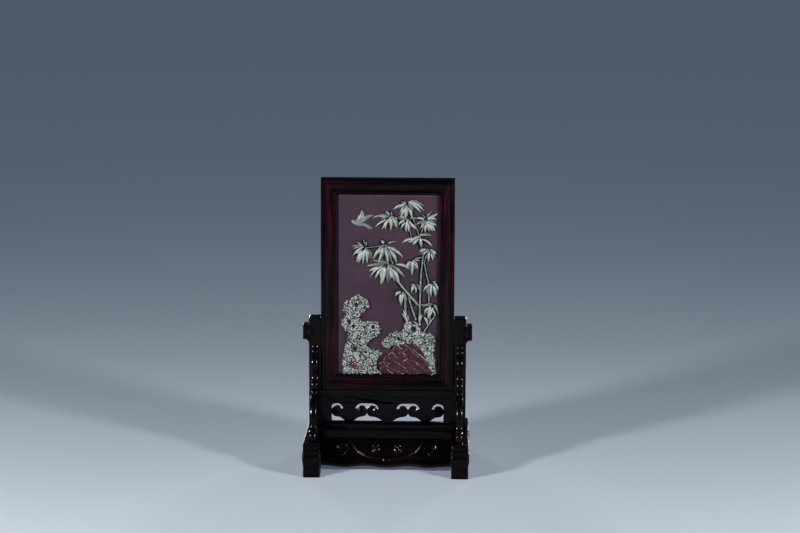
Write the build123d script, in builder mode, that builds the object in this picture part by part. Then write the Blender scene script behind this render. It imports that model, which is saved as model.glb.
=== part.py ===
"""Carved stone table screen: a framed stone panel that lifts out of a hardwood stand.

Sizes are in millimetres. X runs to the right, the front faces -Y and Z is up.
The origin is on the table under the middle of the stand.
"""

import os

from build123d import *

os.makedirs("parts", exist_ok=True)

# Overall sizes
overall_height = 500.0
screen_width = 228.0
stand_rise = 134.0

# Frame members and their moulding
frame_member = 26.0
frame_depth = 28.0
arris_radius = 2.2
outer_strip = 7.0
quirk_width = 1.4
quirk_depth = 1.0
bead_width = 5.2
bead_rise = 2.3
cove_sink = 4.2
cove_sag = 1.4
back_arris = 1.5
frame_tenon_thickness = 8.0
frame_tenon_margin = 7.0
tenon_gap = 0.1
cut_past = 1.0

# Stone slab and back board, which share the frame's groove
stone_set_back = 8.0
stone_thickness = 10.0
back_board_thickness = 4.0
groove_depth = 6.0
panel_gap = 0.3

# Tongue on each stile and the groove that it slides in
tongue_length = 5.7
tongue_thickness = 7.4
tongue_foot_clear = 2.0
tongue_head_clear = 6.0
slide_gap = 0.3
groove_end_gap = 0.6

# Uprights and their fret ears
upright_width = 20.5
upright_depth = 26.0
upright_rise = 127.0
upright_chamfer = 1.2
upright_tenon_width = 11.0
upright_tenon_depth = 17.0
upright_tenon_length = 28.0
ear_reach = 10.2
ear_width = 19.0
ear_height = 25.0
ear_drop = 13.7
fret_line = 1.9
fret_step = 3.7
fret_depth = 1.4
fret_margin = 1.0
shoulder_reach = 4.5
shoulder_height = 8.0
shoulder_curve = 9.6

# Feet
foot_width = 29.0
foot_inner_reveal = 3.0
foot_length = 190.0
foot_height = 59.0
foot_bead = 4.6
foot_bead_pitch = 9.0
foot_bead_set_back = 2.2
foot_bead_swell = 0.8
plinth_height = 15.0
plinth_bead = 4.8
plinth_step = 2.0
arch_span = 128.0
arch_rise = 9.0
arch_ogee = 14.0
arch_turn_in = 2.8
arch_turn_up = 6.3
boss_radius = 10.5
boss_height = 32.0
boss_set_back = 15.5
boss_reach = 1.6
boss_draft = 20.0
end_boss_drop = 3.0
end_boss_swell = 0.6

# Spandrels that stand on the feet
spandrel_thickness = 12.0
spandrel_rise = 156.0
spandrel_reach = 77.0

# Stretchers and the openwork panel between them
upper_stretcher_height = 11.8
upper_stretcher_depth = 26.0
lower_stretcher_top = 73.0
lower_stretcher_bottom = 48.3
lower_stretcher_depth = 28.0
stretcher_bead = 4.0
stretcher_bead_drop = 8.5
stretcher_groove = 4.5
stretcher_tenon_depth = 15.0
stretcher_tenon_length = 9.0
stretcher_tenon_cover = 1.5
stretcher_chamfer = 0.8
waist_thickness = 8.0
waist_top_margin = 14.0
waist_bottom_margin = 2.3
waist_side_margin = 17.7
middle_cloud_width = 71.0
cloud_volute = 9.2
cloud_volute_drop = 14.9
cloud_tip = 2.4
cloud_tip_slope = 0.12
cloud_touch = 0.25
crescent_radius = 10.9
crescent_rise = 3.6
neck_half_height = 3.2

# Sloping aprons between the feet
apron_thickness = 7.0
apron_head_reveal = 1.0
apron_run = 41.0
apron_clear = 12.0
apron_wave = 3.2
apron_mid_gap = 0.6
apron_crest_share = 0.34
apron_dip_share = 0.62

# Carving on the stone
art_margin = 1.5
leaf_length = 25.0
leaf_width = 3.8
leaf_belly_share = 0.42
short_leaf_share = 0.74
leaf_height = 2.2
culm_height = 3.0
culm_width = 4.5
rock_height = 4.4
rock_round = 1.6
crag_height = 4.6
crag_draft = 18.0
bird_height = 2.4

# Places that follow from the sizes above
frame_height = overall_height - stand_rise
frame_front = frame_depth / 2
half_screen = screen_width / 2
sight_width = screen_width - 2 * frame_member
sight_height = frame_height - 2 * frame_member
sight_bottom = stand_rise + frame_member
stone_front = frame_front - stone_set_back
stone_back = stone_front - stone_thickness
board_front = stone_back - panel_gap
board_back = board_front - back_board_thickness
frame_centre_z = stand_rise + frame_height / 2
upright_inner = half_screen + slide_gap
upright_outer = upright_inner + upright_width
upright_centre = upright_inner + upright_width / 2
upright_top = stand_rise + upright_rise
upright_front = upright_depth / 2
foot_inner = upright_inner - foot_inner_reveal
foot_outer = foot_inner + foot_width
half_foot = foot_length / 2
upper_stretcher_bottom = stand_rise - upper_stretcher_height
lower_front = lower_stretcher_depth / 2
opening_top = upper_stretcher_bottom - waist_top_margin
opening_bottom = lower_stretcher_top + waist_bottom_margin
opening_half = upright_inner - waist_side_margin
ear_top = upright_top - ear_drop
ear_bottom = ear_top - ear_height
tongue_bottom = stand_rise + tongue_foot_clear
tongue_top = upright_top - tongue_head_clear


def block(x_low, x_high, y_low, y_high, z_low, z_high):
    """Return a plain block between two corners."""
    with BuildPart() as solid:
        with BuildSketch(Plane.XY.offset(z_low)):
            with Locations(((x_low + x_high) / 2, (y_low + y_high) / 2)):
                Rectangle(x_high - x_low, y_high - y_low)
        extrude(amount=z_high - z_low)
    return solid.part


def frame_plane(across, along, middle):
    """Return a member's section plane: local x runs from its outer edge to its inner edge."""
    return Plane(origin=middle, x_dir=across, z_dir=along)


def frame_member_solid(plane, length):
    """Return one moulded and grooved frame member, mitred at both ends."""
    quirk_floor = frame_front - quirk_depth
    cove_end = frame_member - bead_width
    cove_floor = frame_front - cove_sink
    cove_middle = ((outer_strip + quirk_width + cove_end) / 2, (quirk_floor + cove_floor) / 2 - cove_sag)
    bead_top = (frame_member - bead_width / 2, cove_floor + bead_rise)
    lip_back = stone_front + panel_gap
    groove_back = board_back - panel_gap
    groove_floor = frame_member - groove_depth
    with BuildPart() as member:
        with BuildSketch(plane):
            with BuildLine():
                Line((0, back_arris - frame_front), (0, frame_front - arris_radius))
                RadiusArc((0, frame_front - arris_radius), (arris_radius, frame_front), arris_radius)
                Polyline(
                    (arris_radius, frame_front),
                    (outer_strip, frame_front),
                    (outer_strip, quirk_floor),
                    (outer_strip + quirk_width, quirk_floor),
                )
                ThreePointArc((outer_strip + quirk_width, quirk_floor), cove_middle, (cove_end, cove_floor))
                ThreePointArc((cove_end, cove_floor), bead_top, (frame_member, cove_floor))
                Polyline(
                    (frame_member, cove_floor),
                    (frame_member, lip_back),
                    (groove_floor, lip_back),
                    (groove_floor, groove_back),
                    (frame_member, groove_back),
                    (frame_member, -frame_front),
                    (back_arris, -frame_front),
                    (0, back_arris - frame_front),
                )
            make_face()
        extrude(amount=length / 2, both=True)
        for side in (1, -1):
            corner = plane.from_local_coords((0, 0, side * length / 2))
            split(bisect_by=Plane(origin=corner, z_dir=plane.x_dir + plane.z_dir * side), keep=Keep.BOTTOM)
    return member.part


def frame_tenon(plane, length, gap):
    """Return the tenon pair of a rail, or with a gap the matching mortise pair."""
    width = frame_member - 2 * frame_tenon_margin - tenon_gap
    with BuildPart() as tenons:
        with BuildSketch(plane.offset(-length / 2 + frame_tenon_margin - gap)):
            with Locations((frame_member / 2 - groove_depth / 2, 0)):
                Rectangle(width + 2 * gap, frame_tenon_thickness + 2 * gap)
        extrude(amount=length - 2 * frame_tenon_margin + 2 * gap)
        with BuildSketch(plane.offset(-length / 2 + frame_member)):
            with Locations((frame_member / 2 - groove_depth / 2, 0)):
                Rectangle(width + 2 * gap, frame_tenon_thickness + 2 * gap)
        extrude(amount=length - 2 * frame_member, mode=Mode.SUBTRACT)
    return tenons.part


top_plane = frame_plane((0, 0, -1), (-1, 0, 0), (0, 0, overall_height))
bottom_plane = frame_plane((0, 0, 1), (1, 0, 0), (0, 0, stand_rise))
left_plane = frame_plane((1, 0, 0), (0, 0, -1), (-half_screen, 0, frame_centre_z))
right_plane = frame_plane((-1, 0, 0), (0, 0, 1), (half_screen, 0, frame_centre_z))

# Frame rails, with their tenons
with BuildPart() as frame_top_rail:
    add(frame_member_solid(top_plane, screen_width))
    add(frame_tenon(top_plane, screen_width, 0))

with BuildPart() as frame_bottom_rail:
    add(frame_member_solid(bottom_plane, screen_width))
    add(frame_tenon(bottom_plane, screen_width, 0))


def stile_tongue(side):
    """Return the tongue on the lower outer edge of one stile, sunk a little into its edge."""
    root = side * (half_screen - back_arris)
    tip = side * (half_screen + tongue_length)
    half = tongue_thickness / 2
    return block(min(root, tip), max(root, tip), -half, half, tongue_bottom, tongue_top)


# Frame stiles, with mortises for the rails and a tongue for the upright
with BuildPart() as frame_left_stile:
    add(frame_member_solid(left_plane, frame_height))
    add(stile_tongue(-1))
    add(frame_tenon(top_plane, screen_width, tenon_gap), mode=Mode.SUBTRACT)
    add(frame_tenon(bottom_plane, screen_width, tenon_gap), mode=Mode.SUBTRACT)

with BuildPart() as frame_right_stile:
    add(frame_member_solid(right_plane, frame_height))
    add(stile_tongue(1))
    add(frame_tenon(top_plane, screen_width, tenon_gap), mode=Mode.SUBTRACT)
    add(frame_tenon(bottom_plane, screen_width, tenon_gap), mode=Mode.SUBTRACT)

# Stone slab and back board, standing on the floor of the bottom rail's groove
slab_half = sight_width / 2 + groove_depth - panel_gap
slab_bottom = sight_bottom - groove_depth
slab_top = sight_bottom + sight_height + groove_depth - panel_gap

with BuildPart() as stone_panel:
    add(block(-slab_half, slab_half, -stone_front, -stone_back, slab_bottom, slab_top))

with BuildPart() as back_board:
    add(block(-slab_half, slab_half, -board_front, -board_back, slab_bottom, slab_top))

# Carving on the stone. Its places are shares of the sight: x from -1 to 1, z from 0 to 1.
art_plane = Plane(origin=(0, -stone_front, sight_bottom), x_dir=(1, 0, 0), z_dir=(0, -1, 0))


def at(x_share, z_share):
    """Return the place on the stone for shares of the sight's half width and height."""
    return (x_share * sight_width / 2, z_share * sight_height)


def leaf(length):
    """Return a bamboo leaf, pointed at both ends, from its stalk at the origin along +X."""
    with BuildSketch() as blade:
        with BuildLine():
            ThreePointArc((0, 0), (length * leaf_belly_share, leaf_width / 2), (length, 0))
            ThreePointArc((length, 0), (length * leaf_belly_share, -leaf_width / 2), (0, 0))
        make_face()
    return blade.sketch


def keep_inside_sight():
    """Trim the open sketch to the sight, less a margin."""
    with Locations((0, sight_height / 2)):
        Rectangle(sight_width - 2 * art_margin, sight_height - 2 * art_margin, mode=Mode.INTERSECT)


# Each spray of leaves: place, direction of its first and last leaf, leaves, size
leaf_sprays = [
    (0.395, 0.963, -152, -28, 7, 1.15),
    (0.047, 0.880, -172, -55, 7, 0.95),
    (0.357, 0.863, -155, -35, 5, 0.80),
    (0.744, 0.863, -178, -4, 8, 0.85),
    (0.609, 0.769, -168, -30, 6, 0.95),
    (0.802, 0.697, -115, -20, 4, 0.75),
    (-0.438, 0.708, -165, -65, 6, 0.95),
    (-0.031, 0.719, -155, -25, 7, 1.00),
    (0.008, 0.614, -158, -12, 8, 1.15),
    (0.492, 0.636, -120, -5, 4, 0.65),
    (0.860, 0.525, -110, -50, 3, 0.80),
    (0.550, 0.514, -130, -80, 3, 0.70),
    (0.298, 0.470, -160, -100, 3, 0.75),
    (0.880, 0.398, -140, -50, 4, 0.75),
    (0.047, 0.880, 125, 145, 2, 0.40),
    (-0.060, 0.722, 112, 132, 2, 0.38),
    (0.395, 0.285, 112, 126, 2, 0.85),
]

# Each culm: its foot, its head and its width as a share of the common width
culms = [
    (0.570, 0.398, 0.143, 0.545, 1.00),
    (0.628, 0.393, 0.638, 0.548, 0.80),
    (0.638, 0.548, 0.686, 0.658, 0.60),
    (0.822, 0.409, 0.802, 0.492, 0.55),
    (0.802, 0.492, 0.715, 0.620, 0.55),
    (0.366, 0.304, 0.337, 0.453, 0.95),
    (0.550, 0.310, 0.405, 0.437, 0.75),
    (0.570, 0.391, 0.763, 0.391, 0.40),
    (0.667, 0.221, 0.948, 0.343, 0.45),
    (0.628, 0.282, 0.628, 0.359, 1.00),
    (0.686, 0.658, 0.620, 0.764, 0.35),
    (0.620, 0.764, 0.744, 0.858, 0.30),
    (0.473, 0.753, 0.376, 0.863, 0.30),
]

with BuildPart() as bird_carving:
    with BuildSketch(art_plane):
        with BuildLine():
            ThreePointArc(at(-0.690, 0.852), at(-0.57, 0.868), at(-0.44, 0.835))
            Line(at(-0.44, 0.835), at(-0.32, 0.811))
            ThreePointArc(at(-0.32, 0.811), at(-0.52, 0.812), at(-0.690, 0.852))
        make_face()
        with BuildLine():
            ThreePointArc(at(-0.63, 0.850), at(-0.60, 0.885), at(-0.49, 0.914))
            ThreePointArc(at(-0.49, 0.914), at(-0.48, 0.880), at(-0.50, 0.845))
            Line(at(-0.50, 0.845), at(-0.63, 0.850))
        make_face()
        with BuildLine():
            ThreePointArc(at(-0.49, 0.845), at(-0.42, 0.879), at(-0.28, 0.880))
            ThreePointArc(at(-0.28, 0.880), at(-0.37, 0.850), at(-0.49, 0.845))
        make_face()
        keep_inside_sight()
    extrude(amount=bird_height)


def rock(outline, holes, height):
    """Return a rock with a rounded rim, through the outline's points, pierced by round holes."""
    with BuildPart() as solid:
        with BuildSketch(art_plane):
            with BuildLine():
                Spline([at(*point) for point in outline], periodic=True)
            make_face()
            keep_inside_sight()
        extrude(amount=height)
        fillet(faces().sort_by(Axis.Y)[0].edges(), radius=rock_round)
        with BuildSketch(art_plane):
            for x_share, z_share, radius in holes:
                with Locations(at(x_share, z_share)):
                    Circle(radius)
        extrude(amount=height, mode=Mode.SUBTRACT)
    return solid.part


left_rock_outline = [
    (-0.535, 0.448),
    (-0.399, 0.420),
    (-0.360, 0.381),
    (-0.477, 0.348),
    (-0.554, 0.321),
    (-0.457, 0.298),
    (-0.283, 0.304),
    (-0.147, 0.282),
    (-0.128, 0.243),
    (-0.264, 0.204),
    (-0.399, 0.177),
    (-0.341, 0.149),
    (-0.147, 0.132),
    (-0.100, 0.112),
    (-0.205, 0.083),
    (-0.180, 0.035),
    (-0.300, 0.016),
    (-0.700, 0.016),
    (-0.840, 0.030),
    (-0.864, 0.132),
    (-0.787, 0.193),
    (-0.767, 0.232),
    (-0.903, 0.271),
    (-0.884, 0.310),
    (-0.826, 0.337),
    (-0.884, 0.370),
    (-0.806, 0.409),
    (-0.671, 0.437),
]
left_rock_holes = [
    (-0.612, 0.390, 2.2),
    (-0.748, 0.296, 2.4),
    (-0.661, 0.271, 1.7),
    (-0.283, 0.268, 1.9),
    (-0.632, 0.143, 2.3),
]
right_rock_outline = [
    (0.318, 0.287),
    (0.453, 0.301),
    (0.609, 0.287),
    (0.686, 0.238),
    (0.841, 0.238),
    (0.930, 0.199),
    (0.899, 0.132),
    (0.930, 0.077),
    (0.900, 0.020),
    (0.800, 0.030),
    (0.740, 0.105),
    (0.570, 0.165),
    (0.376, 0.180),
    (0.182, 0.160),
    (-0.012, 0.152),
    (-0.118, 0.182),
    (-0.012, 0.215),
    (0.143, 0.243),
    (0.279, 0.243),
]
right_rock_holes = [(0.512, 0.257, 2.8), (0.221, 0.204, 2.2)]

with BuildPart() as left_rock_carving:
    add(rock(left_rock_outline, left_rock_holes, rock_height))

with BuildPart() as right_rock_carving:
    add(rock(right_rock_outline, right_rock_holes, rock_height))

with BuildPart() as bamboo_carving:
    with BuildSketch(art_plane):
        for x_share, z_share, first, last, count, share in leaf_sprays:
            for step in range(count):
                turn = first + (last - first) * step / (count - 1)
                reach = leaf_length * share * (short_leaf_share if step % 2 else 1)
                with Locations(Location(at(x_share, z_share), turn)):
                    add(leaf(reach))
        keep_inside_sight()
    extrude(amount=leaf_height)
    with BuildSketch(art_plane):
        for foot_x, foot_z, head_x, head_z, share in culms:
            with BuildLine():
                Line(at(foot_x, foot_z), at(head_x, head_z))
            trace(line_width=culm_width * share)
        keep_inside_sight()
    extrude(amount=culm_height)
    add(right_rock_carving.part, mode=Mode.SUBTRACT)

# Each block of red rock: its corners, then its height as a share of the crag height
crags = [
    ([(0.24, 0.202), (0.395, 0.207), (0.589, 0.177), (0.705, 0.121), (0.822, 0.055), (0.105, 0.150)], 1.3),
    ([(0.105, 0.154), (0.822, 0.060), (0.78, 0.016), (0.46, 0.016), (0.06, 0.118)], 1.1),
    ([(0.085, 0.121), (0.54, 0.016), (-0.012, 0.016), (-0.157, 0.049), (-0.089, 0.094)], 1.2),
    ([(-0.71, 0.092), (-0.574, 0.095), (-0.506, 0.066), (-0.554, 0.033), (-0.709, 0.033)], 1.25),
]

with BuildPart() as red_rock_carving:
    for corners, share in crags:
        with BuildSketch(art_plane):
            with BuildLine():
                Polyline([at(*point) for point in corners], close=True)
            make_face()
            keep_inside_sight()
        extrude(amount=crag_height * share, taper=crag_draft)
    add(left_rock_carving.part, mode=Mode.SUBTRACT)
    add(right_rock_carving.part, mode=Mode.SUBTRACT)

# Openwork panel between the stretchers, let into grooves in them and in the uprights
waist_half = upright_inner + stretcher_groove - tenon_gap
waist_bottom = lower_stretcher_top - stretcher_groove
waist_top = upper_stretcher_bottom + stretcher_groove - tenon_gap
side_cloud_width = opening_half - middle_cloud_width / 2


volute_z = opening_top - cloud_volute_drop
cloud_centres = {-opening_half + side_cloud_width / 2: side_cloud_width}
cloud_centres[0] = middle_cloud_width
cloud_centres[opening_half - side_cloud_width / 2] = side_cloud_width


def cloud_head(width):
    """Return a hanging cloud head: two volutes over a bowl that sweeps in to a tip at the opening's foot."""
    reach = width / 2 - cloud_volute + cloud_touch
    volute_foot = volute_z - cloud_volute
    with BuildSketch() as head:
        with Locations((-reach, volute_z), (reach, volute_z)):
            Circle(cloud_volute)
        with BuildLine():
            Spline(
                (-reach, volute_foot),
                (-cloud_tip, opening_bottom),
                tangents=((1, 0), (1, -cloud_tip_slope)),
            )
            Line((-cloud_tip, opening_bottom), (cloud_tip, opening_bottom))
            Spline(
                (cloud_tip, opening_bottom),
                (reach, volute_foot),
                tangents=((1, cloud_tip_slope), (1, 0)),
            )
            Polyline((reach, volute_foot), (reach, volute_z), (-reach, volute_z), (-reach, volute_foot))
        make_face()
    return head.sketch


def lower_openings():
    """Return the triangles and wedges below the volutes, between the heads."""
    height = volute_z - neck_half_height - opening_bottom
    with BuildSketch() as room:
        with Locations((0, opening_bottom + height / 2)):
            Rectangle(2 * opening_half, height)
        for centre, width in cloud_centres.items():
            with Locations((centre, 0)):
                add(cloud_head(width), mode=Mode.SUBTRACT)
    return room.sketch


def upper_openings():
    """Return the crescents over the volutes. Those of neighbouring heads run together."""
    height = opening_top - volute_z - neck_half_height
    crescent_z = volute_z + crescent_rise
    with BuildSketch() as room:
        volutes = []
        for centre, width in cloud_centres.items():
            reach = width / 2 - cloud_volute + cloud_touch
            volutes.extend([centre - reach, centre + reach])
        with Locations([(x, crescent_z) for x in volutes]):
            Circle(crescent_radius)
        for left, right in zip(volutes[1::2], volutes[2::2]):
            with Locations(((left + right) / 2, crescent_z + crescent_radius / 2)):
                Rectangle(right - left, crescent_radius)
        with Locations((0, opening_top - height / 2)):
            Rectangle(2 * opening_half, height, mode=Mode.INTERSECT)
        with Locations([(x, volute_z) for x in volutes]):
            Circle(cloud_volute, mode=Mode.SUBTRACT)
    return room.sketch


with BuildPart() as waist_panel:
    add(block(-waist_half, waist_half, -waist_thickness / 2, waist_thickness / 2, waist_bottom, waist_top))
    with BuildSketch(Plane.XZ.offset(-waist_thickness / 2)):
        add(lower_openings())
        add(upper_openings())
    extrude(amount=waist_thickness, mode=Mode.SUBTRACT)


def panel_groove():
    """Return the room that the openwork panel takes in the pieces round it."""
    half = waist_thickness / 2 + tenon_gap
    reach = waist_half + tenon_gap
    return block(-reach, reach, -half, half, waist_bottom, waist_top + tenon_gap)


# Upper stretcher, which carries the frame
with BuildPart() as upper_stretcher:
    with BuildSketch(Plane.YZ.offset(-upright_inner)):
        with Locations((0, stand_rise - upper_stretcher_height / 2)):
            Rectangle(upper_stretcher_depth, upper_stretcher_height)
    extrude(amount=2 * upright_inner)
    chamfer(edges().filter_by(Axis.X).group_by(Axis.Z)[0], length=stretcher_chamfer)
    add(panel_groove(), mode=Mode.SUBTRACT)
    upper_tenon_bottom = waist_top + stretcher_tenon_cover
    upper_tenon_top = stand_rise - stretcher_tenon_cover
    tenon_end = upright_inner + stretcher_tenon_length
    with BuildSketch(Plane.YZ.offset(-tenon_end)):
        with Locations((0, (upper_tenon_bottom + upper_tenon_top) / 2)):
            Rectangle(stretcher_tenon_depth, upper_tenon_top - upper_tenon_bottom)
    extrude(amount=2 * tenon_end)

# Lower stretcher, with a bead along its front and back, shouldered over the feet
lower_tenon_bottom = foot_height + stretcher_tenon_cover
lower_tenon_top = waist_bottom - stretcher_tenon_cover

with BuildPart() as lower_stretcher:
    bead_z = lower_stretcher_top - stretcher_bead_drop
    band_front = lower_front - stretcher_bead / 2
    with BuildSketch(Plane.YZ.offset(-upright_inner)):
        with Locations((0, (lower_stretcher_top + lower_stretcher_bottom) / 2)):
            Rectangle(2 * band_front, lower_stretcher_top - lower_stretcher_bottom)
        with Locations((-band_front, bead_z), (band_front, bead_z)):
            Circle(stretcher_bead / 2)
    extrude(amount=2 * upright_inner)
    for side in (-1, 1):
        shoulder = (side * foot_inner, side * (upright_inner + cut_past))
        room = (min(shoulder), max(shoulder), -lower_stretcher_depth, lower_stretcher_depth)
        add(block(*room, lower_stretcher_bottom - cut_past, foot_height), mode=Mode.SUBTRACT)
    add(panel_groove(), mode=Mode.SUBTRACT)
    with BuildSketch(Plane.YZ.offset(-tenon_end)):
        with Locations((0, (lower_tenon_bottom + lower_tenon_top) / 2)):
            Rectangle(stretcher_tenon_depth, lower_tenon_top - lower_tenon_bottom)
    extrude(amount=2 * tenon_end)


def mortise(low, high):
    """Return the room for a stretcher's tenons between two heights."""
    half = stretcher_tenon_depth / 2 + tenon_gap
    reach = tenon_end + tenon_gap
    return block(-reach, reach, -half, half, low - tenon_gap, high + tenon_gap)


def fret(x_outer, z_top):
    """Return the squared spiral line of one ear, wound inward from its outer top corner."""
    inner = x_outer - ear_width
    line = fret_line / 2 + fret_margin
    with BuildSketch() as spiral:
        with BuildLine():
            Polyline(
                (inner + line, z_top - line),
                (x_outer - line, z_top - line),
                (x_outer - line, z_top - ear_height + line),
                (inner + line, z_top - ear_height + line),
                (inner + line, z_top - line - fret_step),
                (x_outer - line - fret_step, z_top - line - fret_step),
                (x_outer - line - fret_step, z_top - ear_height + line + fret_step),
                (inner + line + fret_step, z_top - ear_height + line + fret_step),
                (inner + line + fret_step, z_top - line - 2 * fret_step),
            )
        trace(line_width=fret_line)
    return spiral.sketch


def upright():
    """Return the right upright: post, fret ear, grooves, mortises and the tenon for its foot."""
    with BuildPart() as post:
        add(block(upright_inner, upright_outer, -upright_front, upright_front, foot_height, upright_top))
        chamfer(faces().sort_by(Axis.Z)[-1].edges(), length=upright_chamfer)
        with BuildSketch(Plane.XZ.offset(-upright_front)):
            with BuildLine():
                Polyline(
                    (upright_outer - cut_past, ear_top),
                    (upright_outer + ear_reach, ear_top),
                    (upright_outer + ear_reach, ear_bottom),
                    (upright_outer + shoulder_reach, ear_bottom),
                )
                RadiusArc(
                    (upright_outer + shoulder_reach, ear_bottom),
                    (upright_outer, ear_bottom - shoulder_height),
                    -shoulder_curve,
                )
                Polyline(
                    (upright_outer, ear_bottom - shoulder_height),
                    (upright_outer - cut_past, ear_bottom - shoulder_height),
                    (upright_outer - cut_past, ear_top),
                )
            make_face()
        extrude(amount=upright_depth)
        for face_y in (-upright_front, upright_front - fret_depth):
            with BuildSketch(Plane.XZ.offset(-face_y - fret_depth)):
                add(fret(upright_outer + ear_reach, ear_top))
            extrude(amount=fret_depth, mode=Mode.SUBTRACT)
        half_groove = tongue_thickness / 2 + slide_gap
        groove_end = half_screen + tongue_length + groove_end_gap
        slot = (upright_inner - cut_past, groove_end, -half_groove, half_groove)
        add(block(*slot, stand_rise, upright_top + cut_past), mode=Mode.SUBTRACT)
        add(panel_groove(), mode=Mode.SUBTRACT)
        add(mortise(upper_tenon_bottom, upper_tenon_top), mode=Mode.SUBTRACT)
        add(mortise(lower_tenon_bottom, lower_tenon_top), mode=Mode.SUBTRACT)
        with BuildSketch(Plane.XY.offset(foot_height - upright_tenon_length)):
            with Locations((upright_centre, 0)):
                Rectangle(upright_tenon_width, upright_tenon_depth)
        extrude(amount=upright_tenon_length)
    return post.part


with BuildPart() as right_upright:
    add(upright())

with BuildPart() as left_upright:
    add(mirror(upright(), about=Plane.YZ, mode=Mode.PRIVATE))


def foot():
    """Return the right foot: moulded ends, arched underside, round bosses and a mortise."""
    body_front = half_foot - plinth_step
    bead_centre = half_foot - foot_bead_set_back
    with BuildPart() as shoe:
        with BuildSketch(Plane.YZ.offset(foot_inner)):
            with Locations((0, foot_height / 2)):
                Rectangle(2 * (body_front - foot_bead_set_back), foot_height)
            with Locations((0, plinth_height / 2)):
                Rectangle(2 * body_front, plinth_height)
            for side in (-1, 1):
                for order in (0.5, 1.5):
                    with Locations((side * (bead_centre - foot_bead / 2), foot_height - order * foot_bead_pitch)):
                        Circle(foot_bead / 2 + foot_bead_swell)
                with Locations((side * (half_foot - plinth_bead / 2), plinth_bead / 2)):
                    Circle(plinth_bead / 2)
                with Locations((side * (body_front - foot_bead_set_back), boss_height - end_boss_drop)):
                    Ellipse(foot_bead_set_back + end_boss_swell, boss_radius)
            with BuildLine():
                half_arch = arch_span / 2
                Line((-half_arch, 0), (half_arch, 0))
                ThreePointArc(
                    (half_arch, 0),
                    (half_arch - arch_turn_in, arch_turn_up),
                    (half_arch - arch_ogee, arch_rise),
                )
                Line((half_arch - arch_ogee, arch_rise), (arch_ogee - half_arch, arch_rise))
                ThreePointArc(
                    (arch_ogee - half_arch, arch_rise),
                    (arch_turn_in - half_arch, arch_turn_up),
                    (-half_arch, 0),
                )
            make_face(mode=Mode.SUBTRACT)
        extrude(amount=foot_width)
        for x_face in (foot_inner, foot_outer):
            with BuildSketch(Plane.YZ.offset(x_face)):
                with Locations((boss_set_back - half_foot, boss_height), (half_foot - boss_set_back, boss_height)):
                    Circle(boss_radius)
            extrude(amount=boss_reach, both=True, taper=boss_draft)
        with BuildSketch(Plane.XY.offset(foot_height - upright_tenon_length - tenon_gap)):
            with Locations((upright_centre, 0)):
                Rectangle(upright_tenon_width + 2 * tenon_gap, upright_tenon_depth + 2 * tenon_gap)
        extrude(amount=upright_tenon_length + cut_past, mode=Mode.SUBTRACT)
    return shoe.part


with BuildPart() as right_foot:
    add(foot())

with BuildPart() as left_foot:
    add(mirror(foot(), about=Plane.YZ, mode=Mode.PRIVATE))


# Down a spandrel's outer edge: shares of reach and rise, and each arc's bulge as a share of its chord
spandrel_edge = [
    (0.060, 0.945, 0.33),
    (0.080, 0.885, 0.33),
    (0.160, 0.690, 0.29),
    (0.180, 0.610, -0.20),
    (0.240, 0.500, 0.30),
    (0.270, 0.445, 0.33),
    (0.660, 0.155, 0.22),
    (0.840, 0.125, -0.28),
    (0.930, 0.000, 0.36),
]


def spandrel():
    """Return the front right spandrel, a scrolled bracket from the upright down along the foot."""
    foot_end = Vector(-upright_front, foot_height)
    head = Vector(-upright_front, foot_height + spandrel_rise)
    with BuildPart() as bracket:
        with BuildSketch(Plane.YZ.offset(upright_centre - spandrel_thickness / 2)):
            with BuildLine():
                Line(foot_end, head)
                start = head
                for reach_share, rise_share, bulge in spandrel_edge:
                    end = foot_end + Vector(-spandrel_reach * reach_share, spandrel_rise * rise_share)
                    chord = end - start
                    outward = Vector(chord.Y, -chord.X)
                    ThreePointArc(start, (start + end) / 2 + outward * bulge, end)
                    start = end
                Line(start, foot_end)
            make_face()
        extrude(amount=spandrel_thickness)
    return bracket.part


with BuildPart() as front_right_spandrel:
    add(spandrel())

with BuildPart() as front_left_spandrel:
    add(mirror(spandrel(), about=Plane.YZ, mode=Mode.PRIVATE))

with BuildPart() as rear_right_spandrel:
    add(mirror(spandrel(), about=Plane.XZ, mode=Mode.PRIVATE))

with BuildPart() as rear_left_spandrel:
    add(mirror(front_left_spandrel.part, about=Plane.XZ, mode=Mode.PRIVATE))


def apron():
    """Return the front apron: a board that slopes forward, with a waved lower edge."""
    head_y = -(lower_front - apron_head_reveal)
    drop = lower_stretcher_bottom - apron_clear
    slope = Vector(0, -apron_run, -drop)
    fall = slope.length
    face = Plane(
        origin=(0, head_y, lower_stretcher_bottom),
        x_dir=(1, 0, 0),
        z_dir=slope.cross(Vector(1, 0, 0)),
    )
    with BuildPart() as board:
        with BuildSketch(face):
            with BuildLine():
                Polyline(
                    (-foot_inner, apron_wave - fall),
                    (-foot_inner, apron_thickness),
                    (foot_inner, apron_thickness),
                    (foot_inner, apron_wave - fall),
                )
                Spline(
                    (foot_inner, apron_wave - fall),
                    (foot_inner * apron_dip_share, -fall),
                    (foot_inner * apron_crest_share, apron_wave - fall),
                    (0, -fall),
                    (-foot_inner * apron_crest_share, apron_wave - fall),
                    (-foot_inner * apron_dip_share, -fall),
                    (-foot_inner, apron_wave - fall),
                )
            make_face()
        extrude(amount=-apron_thickness)
        split(bisect_by=Plane.XY.offset(lower_stretcher_bottom), keep=Keep.BOTTOM)
        split(bisect_by=Plane.XZ.offset(apron_mid_gap / 2), keep=Keep.TOP)
    return board.part


with BuildPart() as front_apron:
    add(apron())

with BuildPart() as rear_apron:
    add(mirror(apron(), about=Plane.XZ, mode=Mode.PRIVATE))

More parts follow.
